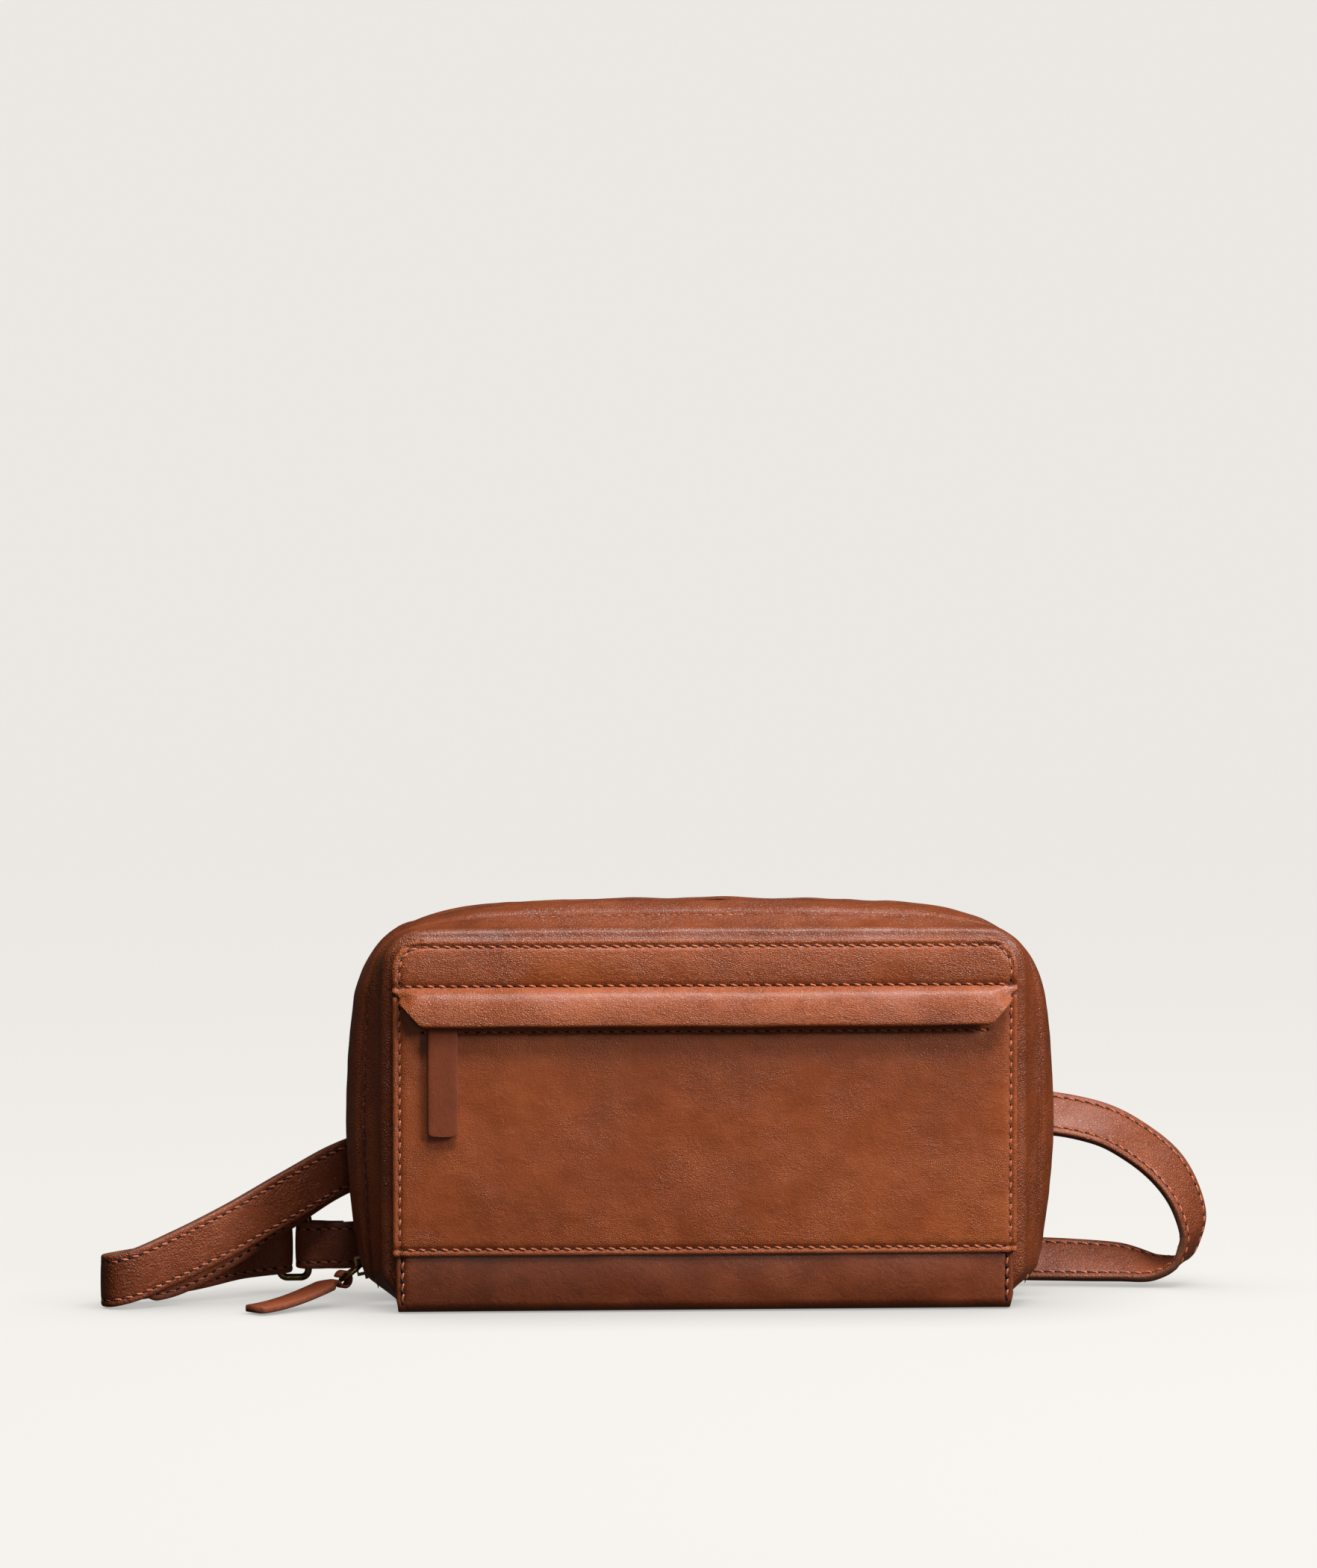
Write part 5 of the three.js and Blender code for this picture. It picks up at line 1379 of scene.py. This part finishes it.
def strap(name, stops, width, seed, tip=False):
    """A stitched strap: returns its mesh and the rows of stitches on both faces."""
    middle, across, out = smooth_path(stops)
    half = width / 2
    reach = np.concatenate([[0], np.cumsum(np.linalg.norm(np.diff(middle, axis=0), axis=1))])
    left = reach[-1] - reach
    if tip:
        # the last part is cut round, so rows come closer together towards the tip
        keep = left > TIP
        fine = TIP * (1 - np.sin(np.linspace(0.05, 1, 12) * math.pi / 2))
        finer = []
        for rows in (middle, across, out):
            picked = np.stack([np.interp(reach[-1] - fine, reach, rows[:, i]) for i in range(3)], axis=1)
            finer.append(np.vstack([rows[keep], picked]))
        middle, across, out = finer
        left = np.concatenate([left[keep], fine])
    section = strap_columns(half)
    points, taper = [], []
    for c, w, o, rest in zip(middle, across, out, left):
        share = math.sqrt(max(1 - (1 - min(rest, TIP) / TIP) ** 2, 0.03)) if tip else 1
        taper.append(share)
        thin = 1 - 0.35 * (1 - share)
        for side in (1, -1):
            for u, low in section[::side]:
                wave = 0.1 * ripple(c[0], c[1], c[2] + u, 11, seed)
                points.append(c + w * u * share + o * (side * (STRAP / 2 - low) * thin + wave))
            rim = c + side * w * (half + EDGE_BULGE) * share
            points += [rim + side * o * EDGE_FLAT * thin, rim - side * o * EDGE_FLAT * thin]
    n = len(section)
    ring_size = 2 * n + 4
    faces, marks = [], []
    for k in range(len(middle) - 1):
        for m in range(ring_size):
            p, q = k * ring_size + m, k * ring_size + (m + 1) % ring_size
            faces.append((p, q, q + ring_size, p + ring_size))
            edge = n - 1 <= m <= n + 1 or m >= 2 * n + 1
            marks.append(1 if edge else 0)
    last = (len(middle) - 1) * ring_size
    faces += [tuple(range(ring_size)), tuple(last + m for m in range(ring_size))[::-1]]
    marks += [1, 1]
    piece = mesh_piece(name, points, faces)
    piece.data.polygons.foreach_set("material_index", marks)
    face_out(piece)
    rows = []
    for face in (1, -1):
        for edge in (1, -1):
            line, normals = [], []
            for c, w, o, share, rest in zip(middle, across, out, taper, left):
                if rest < STRAP_SEAM and tip:
                    continue
                spot = edge * max(half * share - STRAP_SEAM, 0)
                line.append(c + w * spot + o * face * (STRAP / 2 - 0.2))
                normals.append(o * face)
            rows.append((np.array(line), np.array(normals)))
    return piece, rows


def fold_stops(x, y, dx, dy, wire_radius, z, lean, length, drop=0):
    grip = wire_radius + 0.3 + STRAP / 2

    def spot(along, off):
        return (x + dx * along - dy * off, y + dy * along + dx * off, z + drop * along, *lean)

    return [
        spot(length, LAYER / 2), spot(length * 0.55, LAYER / 2), spot(grip * 1.7, grip * 0.8),
        spot(grip * 0.5, grip * 1.02), spot(-grip * 0.35, grip * 0.94), spot(-grip * 0.88, grip * 0.48),
        spot(-grip, 0), spot(-grip * 0.88, -grip * 0.48), spot(-grip * 0.35, -grip * 0.94),
        spot(grip * 0.5, -grip * 1.02), spot(grip * 1.7, -grip * 0.8), spot(length * 0.55, -LAYER / 2),
        spot(length, -LAYER / 2)]


def bored(piece, holes):
    """Cuts round or slotted holes through a piece."""
    for x, z, radius, reach, y0, y1 in holes:
        bpy.ops.mesh.primitive_cylinder_add(
            vertices=24, radius=radius * MM, depth=(y1 - y0) * MM, rotation=(math.pi / 2, 0, 0),
            location=(x * MM, (y0 + y1) / 2 * MM, z * MM))
        punch = bpy.context.object
        punch.scale.x = reach
        piece.modifiers.new("bore", "BOOLEAN").object = punch
        piece.modifiers["bore"].solver = "EXACT"
        bpy.context.view_layer.update()
        cut = bpy.data.meshes.new_from_object(piece.evaluated_get(bpy.context.evaluated_depsgraph_get()))
        piece.modifiers.clear()
        piece.data = cut
        bpy.data.objects.remove(punch)


strap_leather = leather(
    "strap_leather", (112, 50, 22), (130, 61, 28), (146, 73, 37), grain=1.0, pebble=0.9, crease=0.5,
    gloss=0.42, coat=0.12)
strap_edge = leather_edge("strap_edge", (112, 66, 44))


def finish_strap(piece, node, rows):
    finish_piece(piece, "pack_back", "strap_leather", [strap_leather, strap_edge], node)
    stitches(piece.name + "_stitches", rows, "pack_back")


def side_at(d):
    return HALF_WIDTH + d


def rear(d):
    return HALF_DEPTH + d


RING_AT = (-side_at(18.7), rear(5.6))
RING_STRAP_Z = 4.3 + 1.85 + STRAP_WIDTH / 2
TAB_Z = RING_STRAP_Z + 1.5
tab, tab_rows = strap("belt_tab", [
    (42.5 - PANEL_HALF, BEHIND, TAB_Z, *UP), (24.5 - PANEL_HALF, BEHIND, TAB_Z, *UP),
    (4.5 - PANEL_HALF, BEHIND + 0.2, TAB_Z, *UP), (-side_at(-7.5), RING_AT[1] - 2.4, TAB_Z - 0.2, *UP),
    *fold_stops(RING_AT[0] + 5, RING_AT[1], 0.995, -0.1, BELT_WIRE, TAB_Z - 0.6, UP, 12.2)[::-1],
], STRAP_WIDTH - 1.5, 21)
finish_strap(tab, "belt_tab_left", tab_rows)

BUCKLE_X = -14
BUCKLE_HALF = 10
LEAN = (0, 0.12, 0.99)


def rise(share):
    return BELT_HEIGHT * share


left_stops = [
    *fold_stops(RING_AT[0] - 5, RING_AT[1], -0.9, -0.436, BELT_WIRE, RING_STRAP_Z, UP, 17, -0.07)[::-1],
    (-side_at(52.5), rear(-12.4), LOW + 2.5, *LEAN), (-side_at(68.5), rear(-21.4), LOW + 0.8, *LEAN),
    (-side_at(78), rear(-28.4), LOW + 0.2, *UP), (-side_at(83.1), rear(-35), LOW, *UP),
    (-side_at(81.1), rear(-41.2), LOW + 0.4, 0, -0.1, 1), (-side_at(74), rear(-42.2), LOW + 2.1, 0, -0.1, 1),
    (-side_at(58.5), rear(-34.5), rise(0.34), 0, -0.08, 1),
    (-side_at(40.5), rear(-24.1), rise(0.496), 0, -0.05, 1),
    (-side_at(20.5), rear(-12.1), rise(0.696), *UP), (-side_at(2.5), rear(-1.4), rise(0.868), *UP),
    (-side_at(-13.5), rear(4.2), rise(0.964), *UP), (-side_at(-29.5), rear(6.4), rise(0.996), *UP),
    (-side_at(-47.5), BELT_Y - LAYER / 2, BELT_HEIGHT, *UP),
    *fold_stops(BUCKLE_X - BUCKLE_HALF, BELT_Y, -1, 0, BUCKLE_WIRE, BELT_HEIGHT, UP, 17)]
left_strap, left_rows = strap("left_strap", left_stops, STRAP_WIDTH, 22)
bored(left_strap, [(BUCKLE_X - BUCKLE_HALF + 1.3, BELT_HEIGHT, 1.8, 2.6, BELT_Y - 3.2, BELT_Y + 8)])
finish_strap(left_strap, "belt_strap_left", left_rows)

# ---------------------------------------------------------------- buckle
# A bent wire frame and a prong on the frame's left bar, both of antique brass.
wire("buckle_loop", "buckle_frame", "pack_back", loop_line("buckle_frame", BUCKLE_WIRE), BUCKLE_WIRE, 14)
dress("buckle_prong", brass, 0.2)

# ---------------------------------------------------------------- right strap
# The right strap is sewn low on the back panel, turns over where it rests on the table, passes behind
# the pack and through the buckle, and ends in a round-cut tail that lies along the left strap.


def edge_pair(front, back, lift=0):
    middle = [(a + b) / 2 for a, b in zip(front, back)]
    wide = [(b - a) / 18 for a, b in zip(front, back)]
    return (middle[0], middle[1], middle[2] + lift, *wide)


def at(x, y, z):
    return side_at(x), rear(y), z


TAIL_Y = BELT_Y + LAYER * 1.5 + 0.2
UNDER_BAR = BELT_Y - BUCKLE_WIRE - 0.3 - STRAP / 2
LIFT = LOW - 9.1
right_stops = [
    (PANEL_HALF - 42.5, BEHIND, LOW + 3.3, *UP), (PANEL_HALF - 20.5, BEHIND + 0.2, LOW + 3.1, *UP),
    (PANEL_HALF - 6.5, BEHIND + 2.4, LOW + 2.1, 0, 0.3, 0.95),
    edge_pair(at(-7.5, 2, 2.4), at(-7.5, 13, 15.7), LIFT),
    edge_pair(at(11, -0.7, 2.2), at(11.5, 12, 14.6), LIFT),
    edge_pair(at(28, -4, 2.5), at(30.5, 9.6, 13), LIFT),
    edge_pair(at(39.3, -6.5, 3.6), at(45.5, 8.8, 8.8), LIFT),
    edge_pair(at(46.1, -8, 7.4), at(54.9, 7.5, 10.4), LIFT),
    edge_pair(at(49.5, -8.5, 13.7), at(58.6, 6.5, 17.9)), edge_pair(at(49.7, -8.5, 19), at(59.4, 5, 25.9)),
    edge_pair(at(47.1, -8, 27.2), at(56.2, 4.4, 36.5)), edge_pair(at(41.4, -7, 35.7), at(49.6, 4.2, 47.2)),
    edge_pair(at(32.5, -6, 43.6), at(39, 5.3, 56)), edge_pair(at(20.7, -4.5, 50.2), at(24.5, 7.2, 63.4)),
    edge_pair(at(0.5, -2.2, 53.9), at(0.5, 9, 67.7)),
    (PANEL_HALF - 0.5, UNDER_BAR + 0.2, BELT_HEIGHT + 8.4, 0, 0.3, 0.95),
    (PANEL_HALF - 18.5, UNDER_BAR + 0.5, BELT_HEIGHT + 5, *UP),
    (PANEL_HALF - 44.5, UNDER_BAR + 0.1, BELT_HEIGHT + 1.2, *UP),
    (34, UNDER_BAR, BELT_HEIGHT, *UP), (10, UNDER_BAR, BELT_HEIGHT, *UP),
    (BUCKLE_X + BUCKLE_HALF - 0.6, UNDER_BAR - 0.1, BELT_HEIGHT, *UP),
    (BUCKLE_X + 2, BELT_Y + 0.6, BELT_HEIGHT, *UP), (BUCKLE_X - 5.4, BELT_Y + 5.2, BELT_HEIGHT, *UP),
    (BUCKLE_X - BUCKLE_HALF, BELT_Y + 6.6, BELT_HEIGHT, *UP),
    (BUCKLE_X - 22, TAIL_Y + 0.1, BELT_HEIGHT, *UP),
    (BUCKLE_X - 31, BELT_Y + 4.1, BELT_HEIGHT, *UP), (BUCKLE_X - 42, BELT_Y + 1.9, BELT_HEIGHT, *UP),
    (-side_at(-47.5), BELT_Y + 1.9, BELT_HEIGHT, *UP), (-side_at(-29.5), BELT_Y + 1.6, rise(0.992), *UP),
    (-side_at(-13), BELT_Y - 0.6, rise(0.948), *UP), (-side_at(4.1), rear(2), rise(0.832), *UP),
    (-side_at(22.4), rear(-8.8), rise(0.624), *UP), (-side_at(42.4), rear(-20.7), rise(0.392), 0, -0.05, 1),
    (-side_at(60.1), rear(-30.9), LOW + 2.5, 0, -0.06, 1),
    (-side_at(72), rear(-36.4), LOW + 0.5, 0, -0.06, 1)]
right_strap, right_rows = strap("right_strap", right_stops, STRAP_WIDTH, 23, tip=True)
bored(right_strap, [
    (BUCKLE_X + 2.5, BELT_HEIGHT, 1.6, 4.4, BELT_Y - 4.5, BELT_Y + 8),
    (BUCKLE_X - 48, BELT_HEIGHT, 1.8, 1, BELT_Y - 1, BELT_Y + 6),
    (BUCKLE_X - 66, BELT_HEIGHT, 1.8, 1, BELT_Y - 1, BELT_Y + 6)])
finish_strap(right_strap, "belt_strap_right", right_rows)

# ---------------------------------------------------------------- keepers
# Two narrow leather loops hold the belt's tail: one is sewn down beside the buckle and one slides.


def keeper_loop(name, node, body):
    low, high = packed_box(node)
    thick, corner = 1.4, 1.0
    middle_x, middle_y, middle_z = [(a + b) / 2 for a, b in zip(low, high)]
    half_y, half_z = (high.y - low.y) / 2 - thick / 2, (high.z - low.z) / 2 - thick / 2
    line = []
    for quarter, (sy, sz) in enumerate(((1, 1), (-1, 1), (-1, -1), (1, -1))):
        for i in range(9):
            angle = (quarter + i / 8) * math.pi / 2
            line.append((
                sy * (half_y - corner) + corner * math.cos(angle),
                sz * (half_z - corner) + corner * math.sin(angle), math.cos(angle), math.sin(angle)))
    us = (-1, -0.93, -0.72, 0, 0.72, 0.93, 1)
    swell = (0.55, 0.85, 1, 1.12, 1, 0.85, 0.55)
    half = (high.x - low.x) / 2
    points, faces = [], []
    for y, z, ny, nz in line:
        for face in (1, -1):
            for u, s in list(zip(us, swell))[::face]:
                out = face * thick / 2 * min(s, 1)
                points.append((middle_x + u * half, middle_y + y + ny * out, middle_z + z + nz * out))
    size = 2 * len(us)
    for k in range(len(line)):
        for m in range(size):
            p, q = k * size + m, k * size + (m + 1) % size
            ahead = (k + 1) % len(line) * size
            faces.append((p, ahead + m, ahead + (m + 1) % size, q))
    piece = mesh_piece(name, points, faces)
    face_out(piece)
    finish_piece(piece, body, "strap_leather", [strap_leather], node)


keeper_loop("keeper_sewn", "fixed_keeper", "pack_back")
keeper_loop("keeper_loose", "sliding_keeper", "loose_keeper")
